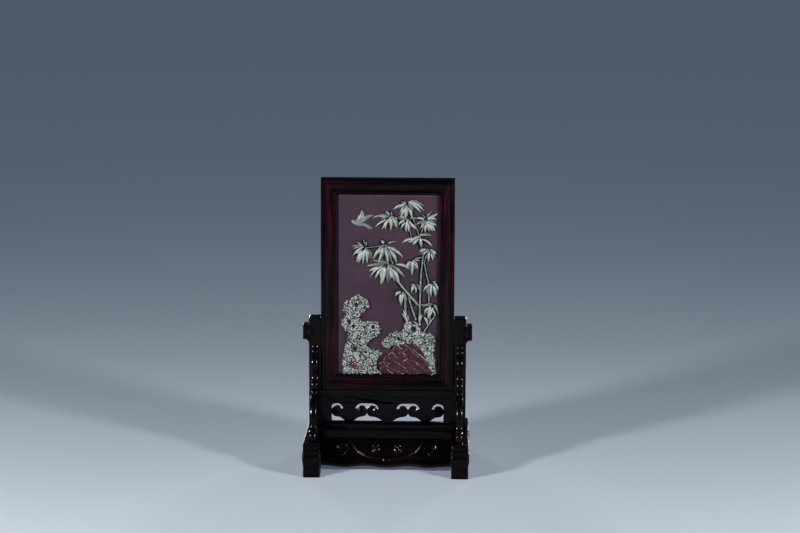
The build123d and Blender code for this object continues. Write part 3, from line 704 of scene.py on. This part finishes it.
# Each spray's foot and the tips of its leaves, as shares of the stone's half width and height
leaf_sprays = [
    ((0.395, 0.963), [
        (0.07, 0.924), (0.18, 0.885), (0.3, 0.868), (0.4, 0.858), (0.52, 0.87), (0.62, 0.89),
        (0.74, 0.915), (0.22, 0.93), (0.58, 0.936),
    ]),
    ((0.047, 0.885), [
        (-0.19, 0.874), (-0.25, 0.819), (-0.12, 0.806), (0.0, 0.791), (0.08, 0.8), (0.163, 0.813),
        (-0.05, 0.912), (0.1, 0.905),
    ]),
    ((0.357, 0.869), [
        (0.18, 0.842), (0.22, 0.819), (0.3, 0.8), (0.357, 0.786), (0.43, 0.795), (0.512, 0.802),
        (0.6, 0.819), (0.2, 0.875),
    ]),
    ((0.744, 0.863), [
        (0.55, 0.874), (0.59, 0.808), (0.7, 0.795), (0.8, 0.79), (0.88, 0.791), (0.96, 0.83),
        (0.967, 0.869), (0.965, 0.802), (0.95, 0.905),
    ]),
    ((0.609, 0.775), [
        (0.26, 0.741), (0.36, 0.728), (0.395, 0.725), (0.5, 0.712), (0.59, 0.714), (0.7, 0.716),
        (0.88, 0.73), (0.8, 0.703), (0.78, 0.77),
    ]),
    ((0.802, 0.703), [
        (0.68, 0.664), (0.763, 0.631), (0.84, 0.631), (0.92, 0.647), (0.967, 0.675), (0.6, 0.68),
    ]),
    ((-0.438, 0.708), [
        (-0.71, 0.686), (-0.67, 0.647), (-0.6, 0.62), (-0.535, 0.597), (-0.47, 0.604), (-0.399, 0.609),
        (-0.341, 0.631), (-0.56, 0.742), (-0.42, 0.745),
    ]),
    ((-0.05, 0.725), [
        (-0.322, 0.669), (-0.283, 0.625), (-0.2, 0.607), (-0.109, 0.631), (-0.02, 0.612), (0.066, 0.62),
        (0.182, 0.609), (0.318, 0.664), (0.26, 0.697), (-0.147, 0.747), (-0.1, 0.752),
    ]),
    ((0.008, 0.62), [
        (-0.399, 0.57), (-0.341, 0.542), (-0.244, 0.514), (-0.15, 0.505), (-0.089, 0.509),
        (-0.031, 0.514), (0.05, 0.52), (0.124, 0.514), (0.2, 0.535), (0.415, 0.575), (0.298, 0.509),
    ]),
    ((0.492, 0.642), [
        (0.395, 0.586), (0.42, 0.56), (0.492, 0.575), (0.609, 0.586), (0.647, 0.631), (0.34, 0.61),
    ]),
    ((0.86, 0.525), [(0.996, 0.47), (0.938, 0.442), (0.86, 0.435), (0.686, 0.464), (0.95, 0.51)]),
    ((0.55, 0.509), [(0.434, 0.481), (0.48, 0.46), (0.55, 0.453), (0.62, 0.462)]),
    ((0.279, 0.47), [(0.124, 0.453), (0.163, 0.425), (0.24, 0.387), (0.3, 0.4), (0.34, 0.43)]),
    ((0.88, 0.398), [
        (0.686, 0.359), (0.74, 0.32), (0.822, 0.304), (0.92, 0.315), (0.967, 0.354), (0.98, 0.39),
    ]),
    ((0.395, 0.287), [(0.255, 0.348), (0.31, 0.372), (0.35, 0.33)]),
    ((0.667, 0.342), [(0.763, 0.27), (0.6, 0.29)]),
]
leaf_breadth = 0.0054
leaf_ridge = 0.0013
leaf_edge_height = 0.0010
carving_root = 0.0026


def leaves(name, sprays, finish):
    """Carve every leaf at once: an arched line from foot to tip, as broad as a sine of the way along it.

    Two flats fall from a crease to the edges, one of them tipped to the light, over undercut walls. Under
    each leaf of the upper layer lies a second one, shorter and turned a little. The crease and the tipped
    flat of upper leaves get a painted highlight; the roots, the edges and the whole under leaf get painted
    shade.
    """
    chance = np.random.default_rng(7)
    feet = np.concatenate([np.repeat([foot], len(tips), 0) for foot, tips in sprays])
    tips = np.concatenate([np.array(tips) for _, tips in sprays])
    feet, tips = on_stone(*feet.T), on_stone(*tips.T)
    count = len(feet)
    reach = tips - feet
    length = np.linalg.norm(reach, axis=1)
    sideways = np.stack([-reach[:, 1], reach[:, 0]], -1)

    def swung(angle):
        """Each leaf's reach, turned by its own angle in radians."""
        return reach * np.cos(angle)[:, None] + sideways * np.sin(angle)[:, None]

    upper = swung(chance.uniform(-0.17, 0.17, count))
    under = swung(chance.uniform(0.22, 0.62, count) * chance.choice([-1, 1], count))
    spread = sideways * chance.uniform(-0.12, 0.12, count)[:, None]
    upper_feet = feet + upper * chance.uniform(0.03, 0.42, count)[:, None] + spread
    upper_tips = feet + upper * chance.uniform(0.86, 1.06, count)[:, None] + spread
    under_feet = feet + under * chance.uniform(0.00, 0.30, count)[:, None]
    under_tips = feet + under * chance.uniform(0.66, 0.98, count)[:, None]
    feet, tips = np.concatenate([upper_feet, under_feet]), np.concatenate([upper_tips, under_tips])
    tips[:, 0] = np.clip(tips[:, 0], -0.97 * art_half, 0.985 * art_half)
    layer = np.repeat([1.0, 0.0], count)
    count *= 2
    reach = tips - feet
    length = np.linalg.norm(reach, axis=1)
    sideways = np.stack([-reach[:, 1], reach[:, 0]], -1) / length[:, None]
    arch = np.sign(sideways[:, 1]) * 0.08 * length * chance.uniform(0.2, 1.6, count)
    lift = layer * (0.0007 + chance.uniform(0.0, 0.0011, count))
    tip_up = chance.uniform(-1, 1, count)
    breadth = leaf_breadth * np.clip(length / 0.016, 0.50, 1.1) * chance.uniform(0.75, 1.15, count)
    along = np.linspace(0.0, 1, 9)
    across = np.array([-0.55, -1, -0.5, 0, 0.5, 1, 0.55])
    rise = np.array([-1, 0, 0.5, 1, 0.5, 0, -1.0])
    bow = 4 * along * (1 - along)
    bend = (arch[:, None] * bow)[..., None] * sideways[:, None]
    line = feet[:, None] + reach[:, None] * along[:, None] + bend
    half = breadth[:, None] / 2 * np.sin(math.pi * along**0.75) ** 0.8
    half[:, [0, -1]] = 0.0001
    place = line[:, :, None] + (half[..., None] * across)[..., None] * sideways[:, None, None]
    edge = (leaf_edge_height + lift[:, None]) * (1 - along**8)
    edge = edge + 0.0007 * np.sin(math.pi * along) - 0.0003 * along**8
    ridge = leaf_ridge * np.sin(math.pi * along**0.8) ** 0.6
    height = edge[..., None] + ridge[..., None] * rise
    height = height + 0.0006 * tip_up[:, None, None] * np.sin(math.pi * along)[:, None] * across
    height = np.where(rise < 0, -carving_root, height)
    points = np.stack([place[..., 0], stone_face - height, place[..., 1]], -1)
    faces = []
    size = len(along) * len(across)
    for number in range(count):
        faces.extend(grid_faces(len(along), len(across), start=number * size))
    # Painted shade on the sunk roots, the edges and the under layer; painted highlight on the crease and the
    # flat tipped to the light.
    shade = 0.30 * (1 - layer)[:, None, None]
    dark = np.where(rise < 0, 1.0, np.where(np.abs(across) == 1, 0.45 + shade, shade))
    tipped = tip_up[:, None, None]
    lit = np.where(across * np.sign(tipped) > 0, 0.45 * np.abs(tipped), 0.0)
    lit = np.where(across == 0, np.maximum(lit, 0.45), lit) * layer[:, None, None]
    piece = make_piece(name, points, faces, finish, crease=180)
    set_measure(piece, "cut", np.broadcast_to(dark, height.shape))
    set_measure(piece, "worn", np.broadcast_to(lit, height.shape))
    return piece


bamboo_leaves = leaves("bamboo_leaves", leaf_sprays, green_stone)
fasten(bamboo_leaves, "screen", "green_stone", "bamboo_carving")

# Each culm or twig: its foot, its head, its width in metres and how many joints it has
culm_runs = [
    ((0.570, 0.398), (0.175, 0.530), 0.0042, 4),
    ((0.628, 0.300), (0.645, 0.548), 0.0036, 7),
    ((0.645, 0.548), (0.690, 0.660), 0.0028, 3),
    ((0.830, 0.300), (0.790, 0.520), 0.0028, 5),
    ((0.790, 0.520), (0.715, 0.620), 0.0024, 3),
    ((0.366, 0.304), (0.337, 0.453), 0.0038, 4),
    ((0.550, 0.310), (0.405, 0.437), 0.0034, 4),
    ((0.570, 0.391), (0.763, 0.391), 0.0026, 2),
    ((0.667, 0.221), (0.948, 0.343), 0.0022, 4),
    ((0.628, 0.282), (0.628, 0.359), 0.0044, 2),
    ((0.690, 0.660), (0.620, 0.764), 0.0018, 3),
    ((0.620, 0.764), (0.744, 0.858), 0.0015, 3),
    ((0.473, 0.753), (0.376, 0.863), 0.0014, 3),
    ((0.620, 0.764), (0.395, 0.955), 0.0014, 4),
    ((0.376, 0.863), (0.050, 0.880), 0.0013, 3),
    ((0.100, 0.620), (-0.050, 0.722), 0.0016, 3),
    ((-0.050, 0.722), (-0.430, 0.705), 0.0013, 3),
    ((0.175, 0.530), (0.010, 0.615), 0.0026, 3),
    ((0.690, 0.660), (0.495, 0.640), 0.0014, 2),
    ((0.700, 0.620), (0.800, 0.700), 0.0015, 2),
]


def culms(name, runs, finish):
    """Carve each culm as half a round bar that waists between its joints, with a raised ring at each."""
    faces, blocks = [], []
    across = np.radians(np.array([-118, -90, -60, -30, 0, 30, 60, 90, 118]))
    start = 0
    for foot, head, width, joints in runs:
        foot, head = on_stone(*foot), on_stone(*head)
        along = np.linspace(0, 1, joints * 8 + 1)
        reach = head - foot
        sideways = np.array([-reach[1], reach[0]]) / np.hypot(*reach)
        beat = np.abs(np.cos(math.pi * joints * along))
        radius = width / 2 * (0.88 + 0.10 * beat**2 + 0.20 * beat**24) * (1 - 0.15 * along)
        place = foot + reach * along[:, None] + sideways * (0.0006 * np.sin(math.pi * along))[:, None]
        spread = place[:, None] + (radius[:, None] * np.sin(across))[..., None] * sideways
        height = 0.0014 + radius[:, None] * np.cos(across) * 1.1
        height[:, [0, -1]] = -carving_root
        blocks.append(np.stack([spread[..., 0], stone_face - height, spread[..., 1]], -1).reshape(-1, 3))
        faces.extend(grid_faces(len(along), len(across), start=start))
        start += height.size
    points = np.concatenate(blocks)
    # Painted shade: each culm darkens towards the ground.
    cut = np.clip(1 - (stone_face - points[:, 1]) / 0.0016, 0, 1)
    return make_piece(name, points, faces, finish, crease=180), cut


bamboo_culms, culm_shade = culms("bamboo_culms", culm_runs, green_stone)
set_measure(bamboo_culms, "cut", culm_shade)
fasten(bamboo_culms, "screen", "green_stone")


# Bird. It is carved in the same green layer: a body, a forked tail and two wings with feather lines.
bird_blades = [
    ((-0.700, 0.852), (-0.400, 0.829), 0.0076, -0.05),
    ((-0.460, 0.838), (-0.290, 0.806), 0.0034, 0.02),
    ((-0.460, 0.832), (-0.340, 0.804), 0.0026, 0.02),
    ((-0.570, 0.838), (-0.503, 0.912), 0.0100, -0.12),
    ((-0.620, 0.846), (-0.560, 0.888), 0.0040, -0.10),
    ((-0.520, 0.842), (-0.275, 0.884), 0.0072, 0.12),
]


def bird(name, blades, finish):
    """Carve the bird from blades like leaves: an arched line, a breadth that swells early, a round back."""
    along = np.linspace(0, 1, 25)
    across = np.linspace(-1, 1, 11)
    faces, blocks, shades = [], [], []
    size = len(along) * (len(across) + 2)
    for number, (foot, tip, breadth, bend) in enumerate(blades):
        foot, tip = on_stone(*foot), on_stone(*tip)
        reach = tip - foot
        length = np.hypot(*reach)
        sideways = np.array([-reach[1], reach[0]]) / length
        line = foot + reach * along[:, None] + sideways * (bend * length * 4 * along * (1 - along))[:, None]
        half = breadth / 2 * np.sin(math.pi * np.clip(along, 0.01, 0.995) ** 0.62) ** 0.7
        spread = line[:, None] + (half[:, None] * across)[..., None] * sideways
        back = np.sqrt(np.clip(1 - across**2, 0, 1))
        feathers = 0.00018 * np.cos(across * 9 + along[:, None] * 5)
        height = 0.0011 + 0.0012 * back * np.sin(math.pi * along**0.7)[:, None] ** 0.5 + feathers
        spread = np.concatenate([spread[:, :1], spread, spread[:, -1:]], 1)
        height = np.pad(height, ((0, 0), (1, 1)), constant_values=-carving_root)
        blocks.append(np.stack([spread[..., 0], stone_face - height, spread[..., 1]], -1).reshape(-1, 3))
        # Painted shade: the bird darkens towards the ground.
        shades.append(np.clip(1 - height / 0.0012, 0, 1).ravel())
        faces.extend(grid_faces(len(along), len(across) + 2, start=number * size))
    return make_piece(name, np.concatenate(blocks), faces, finish, crease=180), np.concatenate(shades)


small_bird, bird_shade = bird("small_bird", bird_blades, green_stone)
set_measure(small_bird, "cut", bird_shade)
fasten(small_bird, "screen", "green_stone", "bird_carving")


# Rocks. Two scholar's rocks in the green layer, drilled and pitted until they look like sea foam in
# stone, and blocks of crimson stone between them, split in slanting layers, their edges painted pale as
# highlights.
left_rock_outline = [
    (-0.535, 0.448), (-0.399, 0.420), (-0.360, 0.381), (-0.477, 0.348), (-0.554, 0.321), (-0.457, 0.298),
    (-0.283, 0.304), (-0.147, 0.282), (-0.128, 0.243), (-0.264, 0.204), (-0.399, 0.177), (-0.341, 0.149),
    (-0.147, 0.132), (-0.100, 0.112), (-0.205, 0.083), (-0.180, 0.035), (-0.100, 0.006), (-0.700, 0.006),
    (-0.860, 0.010), (-0.864, 0.132), (-0.787, 0.193), (-0.767, 0.232), (-0.903, 0.271), (-0.884, 0.310),
    (-0.826, 0.337), (-0.884, 0.370), (-0.806, 0.409), (-0.671, 0.437),
]
left_rock_holes = [
    (-0.612, 0.390, 0.0026), (-0.748, 0.296, 0.0028), (-0.661, 0.271, 0.0020),
    (-0.283, 0.268, 0.0022), (-0.632, 0.143, 0.0026),
]
right_rock_outline = [
    (0.318, 0.287), (0.453, 0.301), (0.609, 0.287), (0.686, 0.238), (0.841, 0.238), (0.930, 0.199),
    (0.899, 0.132), (0.930, 0.077), (0.940, 0.010), (0.800, 0.010), (0.740, 0.105), (0.570, 0.165),
    (0.376, 0.180), (0.182, 0.160), (-0.012, 0.152), (-0.118, 0.182), (-0.012, 0.215), (0.143, 0.243),
    (0.279, 0.243),
]
right_rock_holes = [(0.512, 0.257, 0.0034), (0.221, 0.204, 0.0022)]
crag_outline = [
    (0.24, 0.202), (0.395, 0.209), (0.56, 0.186), (0.70, 0.125), (0.79, 0.085), (0.85, 0.045),
    (0.83, 0.008), (-0.02, 0.008), (-0.157, 0.049), (-0.089, 0.094), (0.06, 0.128), (0.105, 0.160),
]
ember_outline = [
    (-0.71, 0.092), (-0.574, 0.098), (-0.506, 0.066), (-0.554, 0.033), (-0.709, 0.030), (-0.76, 0.060),
]
rock_grid = 0.0005


def smooth_loop(outline, steps):
    """Points on the closed curve through an outline's points, by the Catmull-Rom cubic."""
    p = on_stone(*np.array(outline).T)
    before, after, last = np.roll(p, 1, 0), np.roll(p, -1, 0), np.roll(p, -2, 0)
    t = np.linspace(0, 1, steps, endpoint=False)[None, :, None]
    p, before, after, last = (q[:, None] for q in (p, before, after, last))
    cubic = 3 * (p - after) + last - before
    curve = p + 0.5 * t * (after - before + t * (2 * before - 5 * p + 4 * after - last + t * cubic))
    return curve.reshape(-1, 2)


def depth_inside(x, z, loop):
    """Distance from each place to a closed loop, positive inside it by the even and odd rule."""
    start, end = loop, np.roll(loop, -1, 0)
    side = end - start
    dx, dz = x.ravel()[:, None] - start[:, 0], z.ravel()[:, None] - start[:, 1]
    share = np.clip((dx * side[:, 0] + dz * side[:, 1]) / (side**2).sum(1), 0, 1)
    distance = np.sqrt((dx - share * side[:, 0]) ** 2 + (dz - share * side[:, 1]) ** 2).min(1)
    crossing = (start[:, 1] > z.ravel()[:, None]) != (end[:, 1] > z.ravel()[:, None])
    rise = np.where(side[:, 1] == 0, 1e-12, side[:, 1])
    left_of = dx < dz / rise * side[:, 0]
    inside = (crossing & left_of).sum(1) % 2 == 1
    return np.where(inside, distance, -distance).reshape(x.shape)


def pebbles(x, z, size, seed, stretch=1.0):
    """Scatter one point to a cell. Return the distance to the nearest, how much further the next is, and
    the nearest one's own chance number, with distances as shares of the cell's size."""
    table = np.random.default_rng(seed).random((64, 64, 3))
    u, v = x / (size * stretch), z / size
    column, row = np.floor(u).astype(int), np.floor(v).astype(int)
    nearest, second, chance = np.full(x.shape, 9.0), np.full(x.shape, 9.0), np.zeros(x.shape)
    for step_u in (-1, 0, 1):
        for step_v in (-1, 0, 1):
            spot = table[(row + step_v) % 64, (column + step_u) % 64]
            away = np.hypot(column + step_u + spot[..., 0] - u, row + step_v + spot[..., 1] - v)
            second = np.minimum(second, np.maximum(nearest, away))
            chance = np.where(away < nearest, spot[..., 2], chance)
            nearest = np.minimum(nearest, away)
    return nearest, second - nearest, chance


def relief(name, outline, shape, finish):
    """Lay a grid over an outline with a knobbly rim, draw the grid's rim onto it and raise it by shape.

    shape(x, z, depth) returns the height and the shares of painted shade and of painted highlight. Points
    outside are left out.
    """
    loop = smooth_loop(outline, 8)
    low, high = loop.min(0) - 4 * rock_grid, loop.max(0) + 4 * rock_grid
    x, z = np.meshgrid(np.arange(low[0], high[0], rock_grid), np.arange(low[1], high[1], rock_grid))
    knob_away, _, _ = pebbles(x, z, 0.0072, 3)
    depth = depth_inside(x, z, loop) + 0.0042 * (0.45 - knob_away)
    depth = depth + 0.0008 * (value_noise(x, z, 0.0024, 3) - 0.5)
    slope_z, slope_x = np.gradient(depth, rock_grid)
    steep = np.maximum(slope_x**2 + slope_z**2, 0.5)
    near = np.abs(depth) < 0.75 * rock_grid
    x = np.where(near, x - depth * slope_x / steep, x)
    z = np.where(near, z - depth * slope_z / steep, z)
    depth = np.where(near, 0, depth)
    height, cut, worn = shape(x, z, depth)
    height = np.where(depth <= 0, -carving_root, height)
    # The sunk rim is painted fully dark as shade.
    cut = np.where(depth <= 0, 1, cut)
    kept = depth >= 0
    whole = kept[:-1, :-1] & kept[1:, :-1] & kept[:-1, 1:] & kept[1:, 1:]
    quads = np.array(grid_faces(*x.shape))[whole.ravel()]
    used, faces = np.unique(quads, return_inverse=True)
    points = np.stack([x, stone_face - height, z], -1).reshape(-1, 3)[used]
    piece = make_piece(name, points, faces.reshape(-1, 4).tolist(), finish, crease=180)
    set_measure(piece, "cut", cut.ravel()[used])
    set_measure(piece, "worn", worn.ravel()[used])
    return piece


def round_rise(share):
    """A quarter circle's height: 0 at the rim, where the share is 0, and 1 from where the share is 1."""
    return np.sqrt(np.clip(1 - (1 - np.clip(share, 0, 1)) ** 2, 0, 1))


def pierced(holes):
    """Return the shape of a pitted rock: swellings over a domed body, set with round pits of chance size in
    two grades, each with a raised lip, some calm patches, and the large drilled holes. Lips get a painted
    highlight; pits, clefts between swellings and the rock's rim get painted shade."""

    def shape(x, z, depth):
        bent_x = x + 0.0044 * (value_noise(x, z, 0.0055, 31) - 0.5)
        bent_z = z + 0.0044 * (value_noise(x, z, 0.0055, 32) - 0.5)
        swell = value_noise(x, z, 0.013, 33)
        calm = 0.7 * np.clip((swell - 0.66) / 0.12, 0, 1)
        lump, seam, _ = pebbles(bent_x, bent_z, 0.0125, 13)
        away, _, chance = pebbles(bent_x, bent_z, 0.0043, 11)
        fine_away, _, fine_chance = pebbles(bent_x, bent_z, 0.0023, 12)
        mouth = 0.10 + 0.36 * chance
        pit = 0.62 * np.clip((mouth - away) / 0.18, 0, 1) * (1 - calm)
        fine_pit = np.clip((0.46 * fine_chance - fine_away) / 0.20, 0, 1) * (1 - calm)
        lip = np.exp(-(((away - mouth - 0.14) / 0.13) ** 2))
        height = 0.0010 + 0.0021 * round_rise(depth / 0.0045) + 0.0008 * swell
        height = height + 0.0018 * round_rise(seam / 0.45) * round_rise(1.2 - lump) + 0.0009 * lip
        for place_x, place_z, radius in holes:
            spot = on_stone(place_x, place_z)
            reach = np.hypot(x - spot[0] + 0.2 * (z - spot[1]), (z - spot[1]) * 0.85) / radius
            reach = reach + 0.5 * (value_noise(x, z, 0.0022, 34) - 0.5)
            pit = np.maximum(pit, np.clip((1.45 - reach) / 0.35, 0, 1))
            lip = np.maximum(lip, np.exp(-(((reach - 1.75) / 0.25) ** 2)))
        pit = np.maximum(pit, 0.45 * fine_pit)
        height = np.minimum(height, 0.0064) * (1 - 0.82 * pit)
        # Painted shade in pits, clefts and at the rim; painted highlight on the lips.
        cleft = np.clip(1 - seam / 0.16, 0, 1)
        hollow_shade = 1.1 * pit + 0.42 * (1 - lip) * (1 - calm) + 0.75 * cleft
        hollow_shade = hollow_shade + 0.5 * np.clip(1 - depth / 0.0012, 0, 1) - 0.02
        return height, np.clip(hollow_shade, 0, 0.97), 0.6 * lip * (1 - pit) * (1 - cleft)

    return shape


def split_rock(x, z, depth):
    """Beds that slant down to the right, each a shelf that rises to a lip painted pale as a highlight, broken
    across by cracks; cracks, chips and the foot of each shelf are painted dark as shade.
    """
    slant = math.radians(-39)
    bed = 0.0120
    along = x * math.cos(slant) + z * math.sin(slant)
    across = -x * math.sin(slant) + z * math.cos(slant)
    along = along + 0.0020 * (value_noise(x, z, 0.008, 21) - 0.5)
    _, crack, chance = pebbles(along, across, 0.0085, 22, 2.2)
    _, chip, tone = pebbles(along, across, 0.0034, 23, 1.8)
    step = (across / bed + 0.8 * value_noise(x, z, 0.022, 24)) % 1
    left_whole = np.clip((value_noise(along, across, 0.010, 25) - 0.58) / 0.12, 0, 1)
    lip = np.exp(-(((step - 0.94) / 0.05) ** 2)) * left_whole
    height = 0.0012 + 0.0020 * round_rise(depth / 0.004) + 0.0028 * chance + 0.0006 * step + 0.0007 * tone
    broken = np.clip(1 - crack / 0.10, 0, 1)
    # Painted shade in cracks, chips and at the foot of each shelf; painted highlight on the lips.
    hollow_shade = 0.75 * broken * (chance < 0.7) + 0.25 * np.clip(1 - chip / 0.08, 0, 1)
    hollow_shade = hollow_shade + 0.45 * np.clip(1 - step / 0.10, 0, 1)
    return height - 0.0006 * broken, np.clip(hollow_shade, 0, 1) * (1 - lip), 0.18 * lip


def ember(x, z, depth):
    """The same broken stone, standing clear of the rock around it."""
    height, hollow_shade, worn = split_rock(x, z, depth)
    return 0.0030 * round_rise(depth / 0.002) + 0.45 * height, hollow_shade, worn


for name, outline, shape, finish, *nodes in (
    ("left_scholars_rock", left_rock_outline, pierced(left_rock_holes), green_stone, "left_rock_carving"),
    ("right_scholars_rock", right_rock_outline, pierced(right_rock_holes), green_stone, "right_rock_carving"),
    ("red_crags", crag_outline, split_rock, red_stone, "red_rock_carving"),
    ("red_ember_rock", ember_outline, ember, red_stone),
):
    slot = "green_stone" if finish is green_stone else "red_stone"
    fasten(relief(name, outline, shape, finish), "screen", slot, *nodes)


# The slab itself comes after its carving, because its ground is cut back and painted dark as shade under the
# sprays.
def soft_shadow(x, z, spots, spread):
    """How crowded the spots are near each place: their count on the grid, blurred by a bell each way."""
    columns, rows = x[0], z[:, 0]
    bins = np.append(rows, rows[-1] + 1), np.append(columns, columns[-1] + 1)
    count, _, _ = np.histogram2d(spots[:, 1], spots[:, 0], bins=bins)
    bell_x = np.exp(-0.5 * ((columns[:, None] - columns) / spread) ** 2)
    bell_z = np.exp(-0.5 * ((rows[:, None] - rows) / spread) ** 2)
    return bell_z @ count @ bell_x


def slab(name, spots, finish):
    """A closed slab: its face is a grid, bevelled from the sight's rounded edge and cut back under leaves.
    The cut-back ground gets painted shade and the bevel a painted highlight.
    """
    columns = np.concatenate(
        [
            [stone_low.x, stone_low.x + 0.0025],
            np.linspace(-sight_half, edge_band - sight_half, 24),
            np.linspace(edge_band - sight_half, sight_half - edge_band, 137)[1:-1],
            np.linspace(sight_half - edge_band, sight_half, 24),
            [stone_high.x - 0.0025, stone_high.x],
        ]
    )
    rows = np.concatenate(
        [
            [stone_low.z, stone_low.z + 0.0025],
            np.linspace(sight_bottom, sight_bottom + edge_band, 24),
            np.linspace(sight_bottom + edge_band, sight_top - edge_band, 250)[1:-1],
            np.linspace(sight_top - edge_band, sight_top, 24),
            [stone_high.z - 0.0025, stone_high.z],
        ]
    )
    x, z = np.meshgrid(columns, rows)
    reach_x = sight_half - bevel_start - np.abs(x)
    reach_z = np.minimum(z - sight_bottom, sight_top - z) - bevel_start
    short_x, short_z = np.maximum(sight_corner - reach_x, 0), np.maximum(sight_corner - reach_z, 0)
    rounded = sight_corner - np.hypot(short_x, short_z)
    edge = np.minimum(np.minimum(reach_x, reach_z), rounded)
    slope = np.clip(1 - edge / bevel_width, 0, 1)
    crowd = soft_shadow(x, z, spots, 0.0013)
    # The crowding sets both how far the ground is cut back and how dark its painted shade is.
    cut = np.clip((crowd - 2.6) / 3.6, 0, 1)
    drop = bevel_drop * slope + ground_cut * cut
    # A painted highlight along the bevel, patchy at random.
    highlight_patches = 0.45 + 0.55 * value_noise(x, z, 0.06, 41)
    worn = 0.55 * np.exp(-(((slope - 0.35) / 0.35) ** 2)) * (slope > 0) * highlight_patches
    face = np.stack([x, stone_face + drop, z], -1)
    rows, columns = x.shape
    number = np.arange(rows * columns).reshape(rows, columns)
    border = np.concatenate([number[0], number[1:, -1], number[-1, -2::-1], number[-2:0:-1, 0]])
    rim = face.reshape(-1, 3)[border] * [1, 0, 1] + [0, stone_high.y, 0]
    faces = grid_faces(rows, columns)
    start = rows * columns
    after = np.roll(np.arange(len(border)), -1)
    skirt = np.stack([border, start + np.arange(len(border)), start + after, border[after]], -1)
    faces.extend(skirt.tolist())
    faces.append(list(range(start, start + len(border)))[::-1])
    piece = make_piece(name, np.concatenate([face.reshape(-1, 3), rim]), faces, finish, crease=30)
    set_measure(piece, "cut", np.concatenate([cut.ravel() * 0.95, np.zeros(len(border))]))
    set_measure(piece, "worn", np.concatenate([worn.ravel(), np.zeros(len(border))]))
    return piece


leaf_points = np.array([v.co for v in bamboo_leaves.data.vertices]).reshape(-1, 9, 7, 3)[:, 1:-2]
culm_points = np.array([v.co for v in bamboo_culms.data.vertices])
crowded = np.concatenate([leaf_points.reshape(-1, 3), culm_points])[:, [0, 2]]
fasten(slab("purple_slab", crowded, purple_stone), "screen", "purple_stone", "stone_panel")


# Back board. A thin rosewood board, planed and waxed, slid in the same grooves behind the stone.
fasten(eased("rear_board", "back_board", rosewood_upright, 0.0003), "screen", "board", "back_board")


# Table and light. The screen stands on a wide sheet of plain pale paper, lit softly from both sides.
def table_sheet(name):
    """A flat sheet of one pale colour. Camera and gloss rays add an even grey, so it isn't black far off."""
    x, y = np.meshgrid(np.linspace(-16, 16, 3), np.linspace(-12, 18, 3))
    paper = bpy.data.materials.new("pale_seamless_paper")
    paper.use_nodes = True
    tree = paper.node_tree
    surface = tree.nodes["Principled BSDF"]
    surface.inputs["Base Color"].default_value = linear("#c8d0d8")
    surface.inputs["Roughness"].default_value = 0.9
    surface.inputs["Specular IOR Level"].default_value = 0.0
    surface.inputs["Emission Color"].default_value = linear("#485060")
    path_kind = add(tree, "ShaderNodeLightPath")
    seen = add(
        tree,
        "ShaderNodeMath",
        {"operation": "MAXIMUM"},
        {0: path_kind.outputs["Is Camera Ray"], 1: path_kind.outputs["Is Glossy Ray"]},
    )
    tree.links.new(seen.outputs[0], surface.inputs["Emission Strength"])
    return make_piece(name, np.stack([x, y, np.zeros_like(x)], -1), grid_faces(3, 3), paper)


table_sheet("seamless_paper")

world = bpy.data.worlds.new("soft_room")
world.use_nodes = True
bpy.context.scene.world = world
room = world.node_tree
path_kind = add(room, "ShaderNodeLightPath")
seen = add(
    room,
    "ShaderNodeMath",
    {"operation": "MAXIMUM"},
    {0: path_kind.outputs["Is Camera Ray"], 1: path_kind.outputs["Is Transmission Ray"]},
)
dim = add(room, "ShaderNodeMapRange", {"To Min": 0.08, "To Max": 0.30}, {"Value": seen.outputs[0]})
room.nodes["Background"].inputs["Color"].default_value = linear("#8f9dad")
room.links.new(dim.outputs[0], room.nodes["Background"].inputs["Strength"])


def softbox(name, place, target, width, watts, tint):
    """Aim a soft square lamp from its place at a target."""
    lamp = bpy.data.lights.new(name, "AREA")
    lamp.size = width
    lamp.energy = watts
    lamp.color = linear(tint)[:3]
    holder = bpy.data.objects.new(name, lamp)
    bpy.context.scene.collection.objects.link(holder)
    away = np.array(place) - np.array(target)
    heading = math.atan2(away[0], -away[1])
    tilt = math.atan2(np.hypot(away[0], away[1]), away[2])
    holder.location = place
    holder.rotation_euler = (tilt, 0, heading)
    return holder


screen_middle = (0, 0, 0.25)
softbox("left_softbox", (-1.35, -1.25, 1.0), screen_middle, 0.24, 26, "#ffffff")
softbox("right_softbox", (1.45, -1.10, 1.0), screen_middle, 0.24, 21, "#ffffff")

# Each softbox has a bright core that only gloss shows, so that the wax gets hard lights.
for core in (
    softbox("left_core", (-1.33, -1.23, 0.98), screen_middle, 0.15, 80, "#eef3ff"),
    softbox("right_core", (1.43, -1.08, 0.98), screen_middle, 0.15, 60, "#eef3ff"),
):
    core.visible_diffuse = False

# Two narrow lamps low behind the screen light its back board.
for rear in (
    softbox("rear_left_fill", (-0.95, 1.95, 0.40), (0, 0, 0.33), 0.30, 1.1, "#ffffff"),
    softbox("rear_right_fill", (0.95, 1.95, 0.40), (0, 0, 0.33), 0.30, 1.1, "#ffffff"),
):
    rear.data.spread = math.radians(22)
    rear.visible_camera = False

# Camera. Its place, turns and focal length were fitted to the photograph's edges and corners.
camera_place = (0.12775, -3.5068, 1.00565)
camera_yaw, camera_pitch, camera_roll = 0.0312, 0.1852, -0.0036
focal_pixels, picture_width = 2090.0, 800
lens = bpy.data.cameras.new("camera")
lens.sensor_width = 36.0
lens.lens = 36.0 * focal_pixels / picture_width
camera = bpy.data.objects.new("camera", lens)
bpy.context.scene.collection.objects.link(camera)
camera.location = camera_place
camera.rotation_mode = "XYZ"
camera.rotation_euler = (math.pi / 2 - camera_pitch, camera_roll, camera_yaw)
bpy.context.scene.camera = camera
bpy.context.scene.view_settings.view_transform = "Standard"
